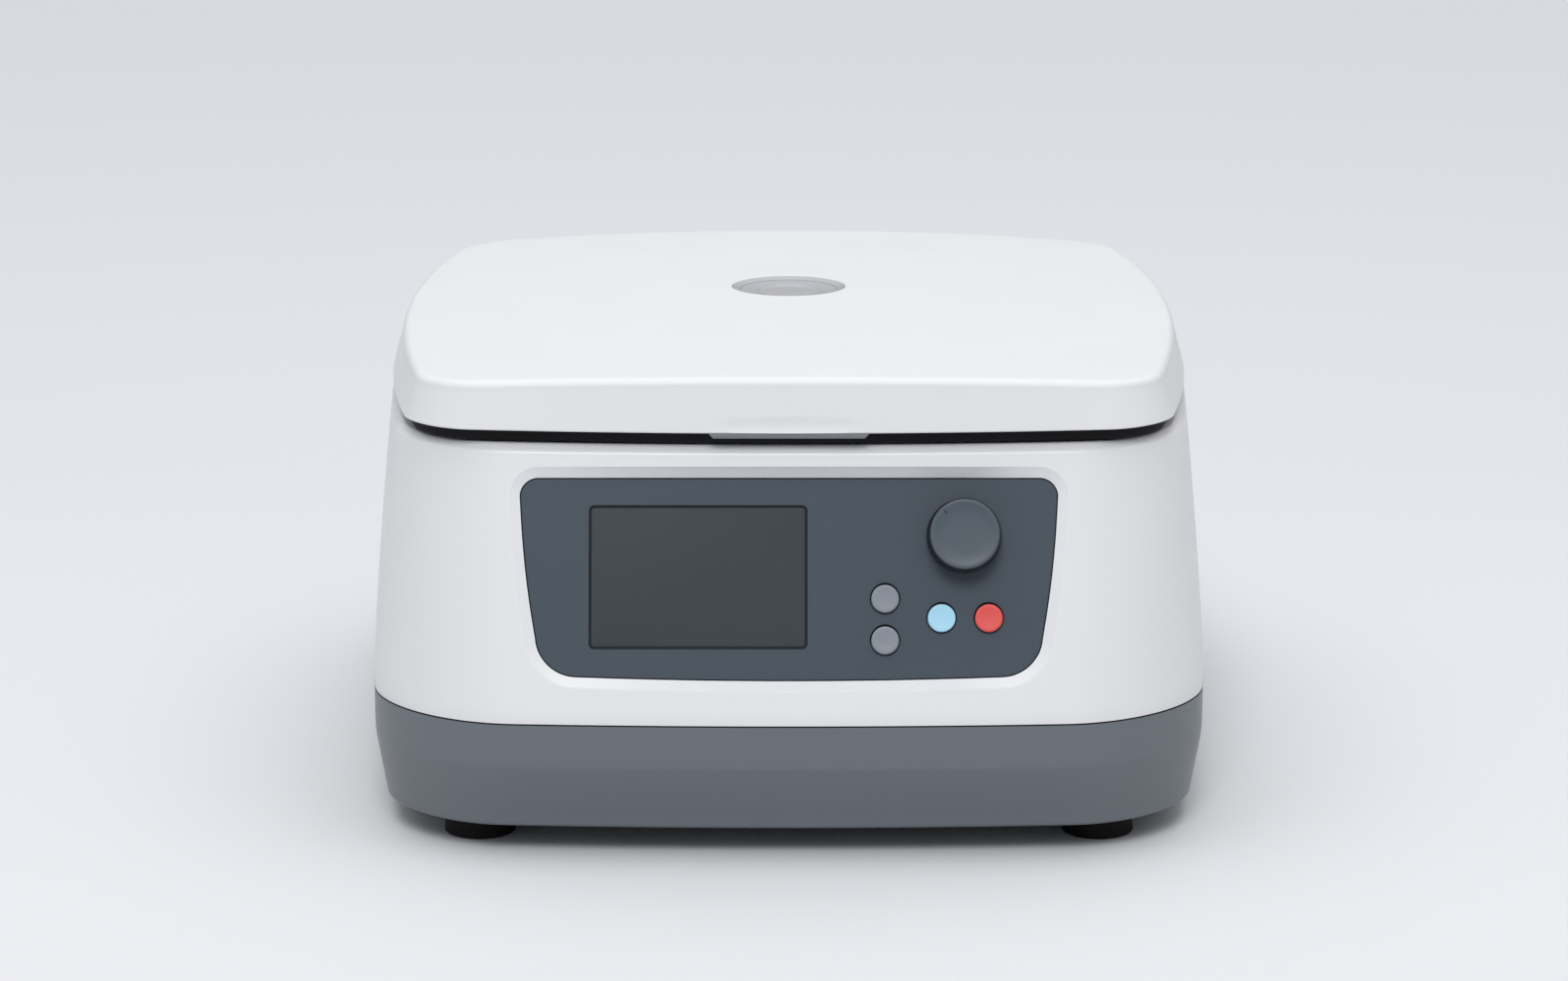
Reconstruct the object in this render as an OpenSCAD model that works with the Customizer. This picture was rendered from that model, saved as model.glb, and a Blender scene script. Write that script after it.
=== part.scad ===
// Bench cytocentrifuge: a bowed plastic housing on a dark base, a crowned lid on a rear
// hinge, a leaning control panel, and a swing carrier rotor in a round steel bowl.
// X is to the right, Y to the back and Z up. The origin is on the floor, under the middle.

/* [Body] */
// Largest width of the body, at mid depth
body_w = 412; // [400:1:430]
// Depth of the body at the parting line
body_d = 464; // [456:1:484]
// Height of the seam between the base and the housing
parting_z = 67; // [62:1:70]
// Height of the crease round the base
crease_z = 46; // [40:1:52]
// Height of the deck that the lid closes over
deck_z = 192; // [190:1:200]
// Lean of the front face from the vertical, in degrees
front_lean = 17; // [15:0.5:18]
// Lean of the back face from the vertical, in degrees
back_lean = 3; // [1:0.5:4]
// Wall of the base and the housing
wall = 3; // [2.4:0.1:3.4]
// Corner radius of the outline at the seam
body_corner = 62; // [54:1:66]
// Corner radius of the outline at the deck
deck_corner = 48; // [44:1:54]
// How far each side bows out
side_bow = 15.7; // [12:0.1:17]
// How far the front and the back bow out
front_bow = 9; // [7:0.1:10]
// How far each side draws in from the seam to the deck
side_draft = 9; // [7:0.5:10]
// Radius of the shoulder round the deck
shoulder_r = 7; // [5:0.5:8]
// Open seam between the base and the housing
seam = 0.8; // [0.5:0.1:1.2]
// How far the front of the base draws in under the crease
base_front_in = 12.6; // [8:0.2:15]
// How far the sides and the back of the base draw in under the crease
base_side_in = 4.5; // [3:0.5:6]

/* [Feet] */
// Diameter of a foot
foot_d = 34; // [28:1:38]
// Height of a foot
foot_h = 14; // [12:0.5:16]
// Distance of a foot's middle from the widest place of the side
foot_in_x = 58.5; // [50:0.5:64]
// Distance of a foot's middle from the front or the back of the body
foot_in_y = 57; // [54:0.5:66]

/* [Lid] */
// How far each side of the lid stands inside the widest place of the body
lid_side_gap = 9.5; // [9:0.1:12]
// Reach of the lid in front of the deck's front edge
lid_overhang = 5.2; // [3:0.1:6]
// Distance of the lid's back from the deck's back edge
lid_back_gap = 25.4; // [24:0.1:27]
// Corner radius of the lid
lid_corner = 28; // [24:1:34]
// How far each side of the lid bows out
lid_side_bow = 20; // [16:0.5:22]
// How far the front and the back of the lid bow out
lid_end_bow = 12; // [9:0.5:13]
// Gap between the deck and the lid's lower edge
lid_gap = 7; // [6.5:0.1:8]
// Height of the lid from its lower edge to the crown
lid_h = 29; // [28:0.5:34]
// Wall of the lid
lid_wall = 3; // [2.4:0.1:3.4]
// Drop of the crown at the sides
crown_side = 6.6; // [4:0.2:8]
// Drop of the crown at the front and the back
crown_end = 3.5; // [2:0.1:5]
// How far the lid's sides draw in towards the top
rim_side_in = 5; // [4:0.2:7]
// How far the lid's front and back draw in towards the top
rim_end_in = 3; // [2.4:0.2:5]
// Radius of the lid's upper edge
rim_r = 3.5; // [2.5:0.1:4.5]
// Diameter of the window and its ring
window_d = 57; // [50:1:64]
// Thickness of the lid's liner
liner_t = 2.5; // [2:0.1:3]
// Width of the finger grip
grip_w = 76; // [60:1:90]
// Depth of the scoop over the grip
scoop_depth = 1.1; // [0.6:0.1:1.6]
// Width of the scoop over the grip
scoop_w = 60; // [40:1:70]

/* [Hinge] */
// Distance of the hinge axis behind the lid
hinge_out = 8; // [7.5:0.1:9.5]
// Height of the hinge axis above the deck
hinge_rise = 8.5; // [8:0.1:9.5]
// Distance between the two hinges
hinge_gap = 180; // [150:1:190]
// Radius of a hinge knuckle
knuckle_r = 6.5; // [5.5:0.1:7]
// Width of a hinge arm
arm_w = 16; // [12:0.5:20]
// Radius of a hinge pin
hinge_pin_r = 3; // [2:0.1:3.5]

/* [Panel] */
// Height of the panel's lower edge
panel_z = 87.6; // [84:0.2:90]
// Height of the panel along its slope
panel_h = 92.9; // [90:0.1:94]
// Half the panel's width at the top
panel_top = 125; // [122:0.5:128]
// Half the panel's width at the bottom
panel_bottom = 117; // [115:0.5:120]
// Sag of the panel's lower edge at the middle
panel_sag = 1.8; // [0.5:0.1:3]
// Radius of the panel's upper corners
panel_top_r = 8; // [5:0.5:12]
// Radius of the panel's lower corners
panel_bottom_r = 22; // [16:0.5:26]
// Depth of the recess at the middle of the front
recess_depth = 6; // [5:0.1:7]
// Width of the bevel round the panel
bevel_w = 5.2; // [4:0.1:6]
// Thickness of the panel
panel_t = 3; // [2:0.1:3.5]
// Width of the screen
screen_w = 100.5; // [90:0.5:104]
// Height of the screen
screen_h = 65.7; // [60:0.1:68]
// Left edge of the screen, from the middle of the panel
screen_left = -92.6; // [-95:0.2:-88]
// Lower edge of the screen, from the panel's lower edge
screen_low = 13.8; // [12:0.2:17]

/* [Controls] */
// Diameter of the knob
knob_d = 35; // [30:0.5:38]
// Length of the knob
knob_l = 15; // [12:0.5:18]
// Place of the knob to the right of the panel's middle
knob_x = 81.6; // [79:0.2:84]
// Place of the knob above the panel's lower edge
knob_v = 65.9; // [63:0.2:67]
// Diameter of a push button
button_d = 13; // [11:0.2:14]
// How far a button stands out of the panel
button_out = 2.4; // [2:0.1:3.5]
// Travel of a button
button_travel = 1.5; // [1:0.1:1.6]
// Place of the two grey buttons to the right of the panel's middle
grey_x = 44.8; // [42:0.2:46]
// Place of the upper grey button above the panel's lower edge
grey_high = 37.1; // [36:0.1:39]
// Place of the lower grey button above the panel's lower edge
grey_low = 17.7; // [16:0.1:18.5]
// Place of the blue button to the right of the panel's middle
blue_x = 71.1; // [68:0.2:72]
// Place of the red button to the right of the panel's middle
red_x = 93.1; // [91:0.2:95]
// Place of the blue and red buttons above the panel's lower edge
pair_v = 28.1; // [25:0.2:30]
// Depth of the control board behind the panel
board_back = 9.4; // [9:0.1:12]

/* [Bowl and rotor] */
// Distance of the rotor axis behind the origin
rotor_y = 18; // [15:0.5:19]
// Inner radius of the bowl
bowl_r = 150; // [146:0.5:152]
// Height of the bowl's floor
bowl_floor_z = 86; // [84:0.5:88]
// Sheet of the bowl
bowl_t = 2; // [1.5:0.1:2.5]
// Radius between the bowl's wall and its floor
bowl_fillet = 20; // [14:1:26]
// Width of the bowl's rim
bowl_rim = 8; // [7:0.5:10]
// Radius of the rotor shaft
shaft_r = 5; // [4:0.1:6]
// Radius of the rotor disc
disc_r = 120; // [117:0.5:124]
// Gap between the bowl's floor and the rotor disc
disc_rise = 10; // [9:0.5:12]
// Thickness of the rotor disc
disc_t = 3.5; // [3:0.1:4.5]
// Number of carriers on the rotor
CARRIERS = 6;
// Distance of a carrier's pivot inside the rotor disc's edge
pivot_in = 14; // [13:0.5:17]
// Height of a carrier's pivot above the rotor disc
pivot_rise = 8.5; // [8.2:0.1:11]
// Radius of a carrier's pivot pins
pivot_pin_r = 2; // [1.5:0.1:2.5]
// Lean of a resting carrier towards the axis, in degrees
carrier_lean = 12; // [8:0.5:15]

/* [Carriers] */
// Length of a microscope slide
slide_l = 76; // [75:0.1:77]
// Width of a microscope slide
slide_w = 25.4; // [25:0.1:26.5]
// Thickness of a microscope slide
slide_t = 1; // [0.9:0.1:1.2]
// Thickness of the filter card
card_t = 0.6; // [0.4:0.1:0.8]
// Radius of the port between chamber and slide
port_r = 3; // [2.5:0.1:3.5]
// Height of the port above the pivot
port_rise = 22; // [20:0.5:26]
// Inner radius of the sample cup
cup_r = 7; // [6:0.1:8]
// Wall of the sample cup
cup_wall = 1.8; // [1.4:0.1:2.2]
// Height of the cup's mouth above the pivot
cup_top = 62; // [54:0.5:66]
// Sheet of the carrier clip
clip_t = 1.2; // [1:0.1:1.5]

/* [Drive] */
// Radius of the motor
motor_r = 46; // [42:0.5:50]
// Height of the motor
motor_h = 41; // [38:0.5:42]
// Side of the motor's square plate
mount_plate = 150; // [146:1:160]
// Thickness of the motor's plate
mount_plate_t = 4; // [3:0.1:5]
// Height of a rubber mount
rubber_h = 14; // [12:0.5:14.5]
// Radius of a rubber mount
rubber_r = 11; // [9:0.5:13]
// Distance of a rubber mount from the motor's axis along X and Y
rubber_place = 60; // [58:0.5:62]

/* [Latch] */
// Distance of the latch behind the deck's front edge
latch_back = 23.8; // [23:0.1:26]
// Thickness of the striker's blade
striker_t = 3; // [2.5:0.1:3.5]
// Width of the striker's blade
striker_w = 10; // [9:0.5:12]
// Throw of the latch pawl, in degrees
pawl_throw = 12; // [10:0.5:13]

/* [Power inlet] */
// Place of the inlet to the right of the middle
inlet_x = 84; // [80:0.5:88]
// Height of the inlet's middle
inlet_z = 96; // [94:0.5:98]
// Width of the inlet's flange
inlet_w = 50; // [46:0.5:54]
// Width of the socket's opening
socket_w = 22.6; // [22:0.1:24]
// Height of the socket's opening
socket_h = 14.6; // [14:0.1:16]
// Depth of the socket
socket_deep = 18; // [17:0.5:20]
// Width of the rocker
rocker_w = 18; // [15:0.5:20]
// Height of the rocker
rocker_h = 12; // [11:0.5:14]

/* [Fits] */
// Radial clearance of a running fit
run_fit = 0.05; // [0.03:0.01:0.08]
// Clearance between parts that are fixed together
seat_fit = 0.1; // [0.05:0.01:0.2]
// Clearance round a piece that moves in a hole
free_gap = 0.4; // [0.35:0.05:0.6]

/* [Hidden] */
$fn = 64;

// Points on a corner of an outline, and between two corners
corner_steps = 7;
edge_steps = 5;
// A small reach that lets a cut pass a face
past = 1;

// Colours
pale = [0.87, 0.875, 0.89];
dark_grey = [0.36, 0.38, 0.40];
panel_blue = [0.26, 0.29, 0.34];
button_grey = [0.47, 0.51, 0.56];
rubber_black = [0.05, 0.05, 0.06];
steel = [0.72, 0.73, 0.75];
zinc = [0.62, 0.64, 0.66];
board_green = [0.10, 0.35, 0.22];

// Heights that follow from the driving sizes
base_z = foot_h;
floor_top = base_z + wall;
chassis_t = 2;
chassis_top = floor_top + chassis_t;
deck_front = body_d / 2 - (deck_z - parting_z) * tan(front_lean);
deck_back = body_d / 2 - (deck_z - parting_z) * tan(back_lean);
lid_w = body_w - 2 * lid_side_gap;
lid_front = deck_front + lid_overhang;
lid_back = deck_back - lid_back_gap;
hinge_y = lid_back + hinge_out;
latch_y = deck_front - latch_back;
pivot_r = disc_r - pivot_in;
lid_z = deck_z + lid_gap;
crown_z = lid_z + lid_h;
liner_z = lid_z + 0.5;
liner_top = liner_z + liner_t;
hinge_z = deck_z + hinge_rise;
disc_z = bowl_floor_z + disc_rise;
pivot_z = disc_z + disc_t + pivot_rise;
mount_plate_z = chassis_top + rubber_h;
motor_z = mount_plate_z + mount_plate_t;
motor_top = motor_z + motor_h;
lid_mid_y = (lid_back - lid_front) / 2;
bowl_outer = bowl_r + bowl_t;

// Outlines and lofts

function arc(centre, r, start, steps) = [
    for (i = [0:steps])
        [centre.x + r * cos(start + 90 * i / steps), centre.y + r * sin(start + 90 * i / steps)]
];

function between(p, q, steps) = [for (i = [1:steps]) p + (q - p) * i / (steps + 1)];

// Rounded rectangle, anticlockwise from the front right corner
function rounded(w, d, r) = concat(
    arc([w - r, r - d], r, -90, corner_steps),
    between([w, r - d], [w, d - r], edge_steps),
    arc([w - r, d - r], r, 0, corner_steps),
    between([w - r, d], [r - w, d], edge_steps),
    arc([r - w, d - r], r, 90, corner_steps),
    between([-w, d - r], [-w, r - d], edge_steps),
    arc([r - w, r - d], r, 180, corner_steps),
    between([r - w, -d], [w - r, -d], edge_steps)
);

// Rounded rectangle with bowed sides, whose largest half width and ends are given
function bowed(half_w, front, back, r, bow_x, bow_y) =
    let (w = half_w - bow_x,
         mid = (front + back) / 2,
         d = (back - front) / 2 - bow_y)
    [for (p = rounded(w, d, r))
        [p.x * (1 + bow_x / w * (1 - pow(p.y / d, 2))),
         mid + p.y * (1 + bow_y / d * (1 - pow(p.x / w, 2)))]];

function at_height(points, z) = [for (p = points) [p.x, p.y, z]];

// Solid through rings of points that all have the same count
module loft(rings) {
    n = len(rings[0]);
    m = len(rings);
    sides = [
        for (k = [0:m - 2], i = [0:n - 1])
            let (j = (i + 1) % n)
            [k * n + i, (k + 1) * n + i, (k + 1) * n + j, k * n + j]
    ];
    low = [[for (i = [0:n - 1]) i]];
    high = [[for (i = [n - 1:-1:0]) (m - 1) * n + i]];
    polyhedron(points = [for (ring = rings) each ring], faces = concat(low, high, sides));
}

// Body outline

function rise(z) = max(0, z - parting_z) / (deck_z - parting_z);
function face_y(z) = (z - parting_z) * tan(front_lean) - body_d / 2;
function rear_y(z) = body_d / 2 - (z - parting_z) * tan(back_lean);
function housing_ring(z, inset) = at_height(
    bowed(body_w / 2 - side_draft * pow(rise(z), 1.3) - inset, face_y(z) + inset,
          rear_y(z) - inset, body_corner + (deck_corner - body_corner) * rise(z) - inset,
          side_bow, front_bow), z);

// Base outline, drawn in below the crease
function base_ring(z, inset) =
    let (low = 1 - min(1, max(0, (z - base_z) / (crease_z - base_z))),
         side = base_side_in * low + inset)
    at_height(
        bowed(body_w / 2 - side, base_front_in * low + inset - body_d / 2,
              body_d / 2 - side, body_corner - 10 * low - inset, side_bow, front_bow), z);

// Lid outline and crown

function lid_outline(inset_x, inset_y) =
    bowed(lid_w / 2 - inset_x, inset_y - lid_front, lid_back - inset_y,
          lid_corner - min(inset_x, inset_y), lid_side_bow, lid_end_bow);
function crown(x, y) =
    crown_z - crown_side * pow(2 * x / lid_w, 2) - crown_end * pow(y / lid_front, 2);
// Ring on the crown, shrunk towards the window and dropped below the crown
function crown_ring(outline, share, drop) = [
    for (p = outline)
        let (x = p.x * share, y = rotor_y + (p.y - rotor_y) * share)
        [x, y, crown(x, y) - drop]
];

// Panel outline and frame

function panel_points(out) =
    let (low_x = panel_bottom - panel_bottom_r,
         high_x = panel_top - panel_top_r,
         high_v = panel_h - panel_top_r)
    concat(
        arc([-low_x, panel_bottom_r], panel_bottom_r + out, 180, corner_steps),
        [for (p = between([-low_x, -out], [low_x, -out], edge_steps))
            [p.x, p.y - panel_sag * (1 - pow(p.x / low_x, 2))]],
        arc([low_x, panel_bottom_r], panel_bottom_r + out, 270, corner_steps),
        arc([high_x, high_v], panel_top_r + out, 0, corner_steps),
        between([high_x, panel_h + out], [-high_x, panel_h + out], edge_steps),
        arc([-high_x, high_v], panel_top_r + out, 90, corner_steps)
    );
// Height of the bowed front face over the flat panel
function face_rise(x) =
    recess_depth - front_bow * cos(front_lean) * pow(x / (body_w / 2 - side_bow), 2);

module on_panel() {
    translate([0, face_y(panel_z) + recess_depth / cos(front_lean), panel_z])
        rotate([90 - front_lean, 0, 0])
            children();
}

// Cylinders along the axes

module along_x(r, length) {
    rotate([0, 90, 0]) cylinder(r = r, h = length, center = true);
}
module along_y(r, length) {
    rotate([90, 0, 0]) cylinder(r = r, h = length, center = true);
}
module tube(outer, inner, low, high) {
    translate([0, 0, low]) difference() {
        cylinder(r = outer, h = high - low);
        translate([0, 0, -past]) cylinder(r = inner, h = high - low + 2 * past);
    }
}
module block(low, high) {
    translate(low) cube(high - low);
}
module on_rotor_axis() {
    translate([0, rotor_y, 0]) children();
}

// Feet, screws and the base

foot_places = [
    for (sx = [-1, 1], sy = [-1, 1]) [sx * (body_w / 2 - foot_in_x), sy * (body_d / 2 - foot_in_y)]
];
screw_r = 2;
screw_head_r = 3.8;
screw_head_h = 2.4;
boss_r = 7;
// Housing bosses stand inside the side walls
boss_x = body_w / 2 - base_side_in - wall - boss_r - 5;
boss_places = [for (sx = [-1, 1], y = [-120, 120]) [sx * boss_x, y]];
boss_top = parting_z + 22;
mount_places = [
    for (sx = [-1, 1], sy = [-1, 1]) [sx * rubber_place, rotor_y + sy * rubber_place]
];
motor_screw_ring = motor_r + 6;

// Pan head screw with its head down, whose head seats at the given height
module screw_up(seat, tip) {
    translate([0, 0, seat - screw_head_h]) cylinder(r = screw_head_r, h = screw_head_h);
    translate([0, 0, seat]) cylinder(r = screw_r, h = tip - seat);
}

module base_tub() color(dark_grey) {
    difference() {
        union() {
            difference() {
                loft([base_ring(base_z, 2.5), base_ring(base_z + 2.5, 0), base_ring(crease_z, 0),
                      base_ring(parting_z - seam, 0)]);
                loft([base_ring(floor_top, wall), base_ring(crease_z, wall),
                      base_ring(parting_z + past, wall)]);
            }
            for (p = boss_places)
                translate([p.x, p.y, base_z + wall / 2])
                    cylinder(r = boss_r, h = parting_z - base_z - wall / 2);
        }
        for (p = boss_places) {
            translate([p.x, p.y, base_z - past]) cylinder(r = screw_r + seat_fit, h = parting_z);
            translate([p.x, p.y, base_z - past])
                cylinder(r = screw_head_r + seat_fit, h = screw_head_h + 1 + past);
        }
        for (p = foot_places)
            translate([p.x, p.y, base_z - past]) cylinder(r = screw_r + seat_fit, h = wall + 2 * past);
        for (sx = [-1, 1], i = [-4:4])
            block([sx * 110 - 16, rotor_y + i * 9 - 2, base_z - past],
                  [sx * 110 + 16, rotor_y + i * 9 + 2, floor_top + past]);
    }
}

module chassis_plate() color(zinc) {
    difference() {
        translate([0, 0, floor_top]) linear_extrude(chassis_t) difference() {
            polygon(rounded(body_w / 2 - 36, body_d / 2 - 38, 20));
            for (p = foot_places) translate(p) circle(r = screw_head_r + 1);
            for (sx = [-1, 1]) translate([sx * 110, rotor_y]) square([40, 84], center = true);
        }
        for (p = mount_places)
            translate([p.x, p.y, floor_top - past]) cylinder(r = screw_r + seat_fit, h = chassis_t + 2 * past);
    }
}

module feet() color(rubber_black) {
    for (p = foot_places)
        translate(p) rotate_extrude() difference() {
            polygon([[0, 0.6], [foot_d / 2 - 6, 0.6], [foot_d / 2 - 5, 0], [foot_d / 2 - 1.5, 0],
                     [foot_d / 2, 1.5], [foot_d / 2 - 1, foot_h], [0, foot_h]]);
            translate([0, -past]) square([screw_head_r + seat_fit, foot_h / 2 + past]);
            square([screw_r + seat_fit, foot_h + past]);
        }
}

module chassis_screws() color(steel) {
    for (p = foot_places) translate(p) screw_up(foot_h / 2, floor_top + 1.5);
    for (p = boss_places) translate(p) screw_up(base_z + screw_head_h + 1, boss_top - 6);
    on_rotor_axis() for (a = [0:90:270])
        rotate([0, 0, a]) translate([motor_screw_ring, 0, 0])
            screw_up(mount_plate_z, motor_z + 6);
}

// Upper housing

vent_w = 3;
vent_pitch = 8;
vent_h = 44;
vent_count = 11;
vent_x = -70;
vent_z = 118;
// Flat pad that the inlet's flange lies on
pad_y = body_d / 2 - 12;
inlet_low = inlet_z - socket_h / 2 - 9;
rocker_z = inlet_z + socket_h / 2 + 8 + rocker_h / 2;
inlet_high = rocker_z + rocker_h / 2 + 8;
pad_edge = 3;
slot_x = 6;
slot_y = striker_w / 2 + 3;
shoulder_levels = [0, 30, 60, 90];

module upper_housing() color(pale) {
    fillet_z = deck_z - shoulder_r;
    difference() {
        union() {
            difference() {
                loft(concat(
                    [for (k = [0:3]) housing_ring(parting_z + (fillet_z - parting_z) * k / 4, 0)],
                    [for (a = shoulder_levels)
                        housing_ring(fillet_z + shoulder_r * sin(a), shoulder_r * (1 - cos(a)))]));
                difference() {
                    loft([housing_ring(parting_z - past, wall), housing_ring(parting_z + 60, wall),
                          housing_ring(fillet_z, wall), housing_ring(deck_z - wall, wall + 4)]);
                    on_panel() linear_extrude(recess_depth + 4)
                        polygon(panel_points(bevel_w + 3));
                    block([inlet_x - inlet_w / 2 - 6, pad_y - wall, inlet_low - 6],
                          [inlet_x + inlet_w / 2 + 6, body_d / 2, inlet_high + 6]);
                }
            }
            for (p = boss_places) {
                translate([p.x, p.y, parting_z]) cylinder(r = boss_r, h = boss_top - parting_z);
                block([min(p.x, sign(p.x) * (boss_x + boss_r + 6)), p.y - 1.5, parting_z + 1],
                      [max(p.x, sign(p.x) * (boss_x + boss_r + 6)), p.y + 1.5, boss_top]);
            }
        }
        on_panel() panel_cut();
        on_rotor_axis() translate([0, 0, deck_z - wall - past])
            cylinder(r = bowl_outer + seat_fit, h = wall + 2 * past);
        block([-slot_x, -latch_y - slot_y, deck_z - wall - past],
              [slot_x, slot_y - latch_y, deck_z + past]);
        block([inlet_x - inlet_w / 2 - pad_edge, pad_y, inlet_low - pad_edge],
              [inlet_x + inlet_w / 2 + pad_edge, body_d / 2 + past, inlet_high + pad_edge]);
        block([inlet_x - socket_w / 2 - 3, pad_y - 10, inlet_z - socket_h / 2 - 3],
              [inlet_x + socket_w / 2 + 3, pad_y + past, rocker_z + rocker_h / 2 + 3]);
        for (i = [0:vent_count - 1])
            block([vent_x + (i - (vent_count - 1) / 2) * vent_pitch - vent_w / 2, body_d / 2 - 24,
                   vent_z - vent_h / 2],
                  [vent_x + (i - (vent_count - 1) / 2) * vent_pitch + vent_w / 2, body_d / 2 + past,
                   vent_z + vent_h / 2]);
        for (p = boss_places)
            translate([p.x, p.y, parting_z - past]) cylinder(r = screw_r, h = boss_top - parting_z - 4);
    }
}

// Bevelled recess, as wide everywhere although the front face bows away, and the panel's seat
module panel_cut() {
    outer = panel_points(bevel_w);
    translate([0, 0, -panel_t - past]) linear_extrude(panel_t + past)
        polygon(panel_points(panel_lap + seat_fit));
    loft([at_height(panel_points(0), -past), at_height(panel_points(0), 0),
          [for (p = outer) [p.x, p.y, face_rise(p.x)]],
          [for (p = outer) [p.x, p.y, face_rise(p.x) + 10]]]);
}

// Panel, screen and board

// How far the panel reaches behind the recess's edge
panel_lap = 3;
button_places = [[grey_x, grey_high], [grey_x, grey_low], [blue_x, pair_v], [red_x, pair_v]];
bushing_r = 3.5;
screen_corner = 1.2;
board_t = 1.6;
board_x = [16, 111];
board_v = [9, 86];
board_z = -panel_t - board_back;
post_places = [for (x = [board_x[0] + 5, board_x[1] - 5], v = [board_v[0] + 4, board_v[1] - 4]) [x, v]];
flange_r = button_d / 2 + 1.4;
stem_end = -panel_t - 2.6;
switch_top = stem_end - button_travel - 0.4;

module screen_area(out) {
    translate([screen_left - out, screen_low - out])
        square([screen_w + 2 * out, screen_h + 2 * out]);
}

module control_panel() color(panel_blue) on_panel() {
    translate([0, 0, -panel_t]) linear_extrude(panel_t) difference() {
        polygon(panel_points(panel_lap));
        screen_area(0);
        for (p = button_places) translate(p) circle(r = button_d / 2 + free_gap);
        translate([knob_x, knob_v]) circle(r = bushing_r + seat_fit);
    }
}

module display_glass() color([0.28, 0.30, 0.32]) on_panel() {
    translate([0, 0, -panel_t]) linear_extrude(panel_t - 0.3) screen_area(-seat_fit);
}

module display_module() color([0.16, 0.17, 0.19]) on_panel() difference() {
    union() {
        translate([0, 0, -panel_t - 6]) linear_extrude(6) screen_area(2.2);
        translate([0, 0, -panel_t - 7.6]) linear_extrude(1.6) screen_area(1);
    }
    translate([screen_left + 8, screen_low + 8, -panel_t - 8.6]) cube([screen_w - 16, screen_h - 16, 2]);
}

module control_board() color(board_green) on_panel() {
    difference() {
        union() {
            translate([board_x[0], board_v[0], board_z - board_t])
                cube([board_x[1] - board_x[0], board_v[1] - board_v[0], board_t]);
            for (p = button_places)
                translate([p.x - 3, p.y - 3, board_z]) cube([6, 6, switch_top - board_z - 0.8]);
            for (p = button_places)
                translate([p.x, p.y, board_z]) cylinder(r = 1.7, h = switch_top - board_z);
            translate([40, 58, board_z - board_t - 3]) cube([16, 16, 3.5]);
            translate([66, 12, board_z - board_t - 6]) cube([34, 6, 6.5]);
        }
        for (p = post_places)
            translate([p.x, p.y, board_z - board_t - past]) cylinder(r = 1.5, h = board_t + 2 * past);
    }
}

module board_standoffs() color(steel) on_panel() {
    for (p = post_places) {
        translate([p.x, p.y, board_z]) cylinder(r = 3, h = board_back);
        translate([p.x, p.y, board_z - board_t]) cylinder(r = 1.5 - seat_fit / 2, h = board_t + 0.5);
        translate([p.x, p.y, board_z - board_t - 1.8]) cylinder(r = 2.8, h = 1.8);
    }
}

shaft_knob_r = 3;

module encoder_body() color([0.22, 0.23, 0.24]) on_panel() translate([knob_x, knob_v, 0]) {
    difference() {
        union() {
            translate([-6.5, -6.5, board_z]) cube([13, 13, board_back]);
            translate([0, 0, -panel_t - 1]) cylinder(r = bushing_r, h = panel_t + 1.4);
        }
        translate([0, 0, board_z + 1.5]) cylinder(r = shaft_knob_r + run_fit, h = board_back + panel_t + 2);
    }
}

module encoder_shaft() color(steel) on_panel() translate([knob_x, knob_v, board_z + 2])
    cylinder(r = shaft_knob_r, h = board_back + panel_t + knob_l - 5.6);

knob_gap = 0.8;
knob_top = knob_gap + knob_l;
knob_edge = 1.5;

module knob() color([0.35, 0.39, 0.42]) on_panel() translate([knob_x, knob_v, 0]) {
    difference() {
        rotate_extrude($fn = 96) polygon(concat(
            [[0, knob_gap], [knob_d / 2 - 0.4, knob_gap], [knob_d / 2, knob_gap + 1]],
            [for (a = [0:30:90])
                [knob_d / 2 - knob_edge + knob_edge * cos(a), knob_top - knob_edge + knob_edge * sin(a)]],
            [[0, knob_top]]));
        translate([0, 0, knob_gap - past]) cylinder(r = shaft_knob_r, h = knob_l - 3.6 + past);
        tube(knob_d / 2 - 2.5, 6, knob_gap - past, knob_gap + 9);
        rotate([0, 0, 130]) translate([knob_d / 2 - 5.4, -0.4, knob_top - 0.3]) cube([3.4, 0.8, 1]);
    }
}

module button(place) on_panel() translate([place.x, place.y, 0]) {
    rotate_extrude() polygon([
        [0, -panel_t - 0.6], [button_d / 2, -panel_t - 0.6], [button_d / 2, button_out - 0.6],
        [button_d / 2 - 0.6, button_out], [button_d / 2 - 3.5, button_out - 0.25], [0, button_out - 0.4]]);
    translate([0, 0, -panel_t - 1.9]) cylinder(r = flange_r, h = 1.4);
    translate([0, 0, stem_end]) cylinder(r = 2.2, h = 1.2);
}
module mode_button_upper() color(button_grey) button(button_places[0]);
module mode_button_lower() color(button_grey) button(button_places[1]);
module start_button() color([0.62, 0.80, 0.91]) button(button_places[2]);
module stop_button() color([0.82, 0.33, 0.31]) button(button_places[3]);

// Bowl, seals and motor

boss_bore = 14;
rim_t = 1.5;
gasket_top = liner_z - 0.3;
gasket_r = bowl_r + 6.5;

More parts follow.
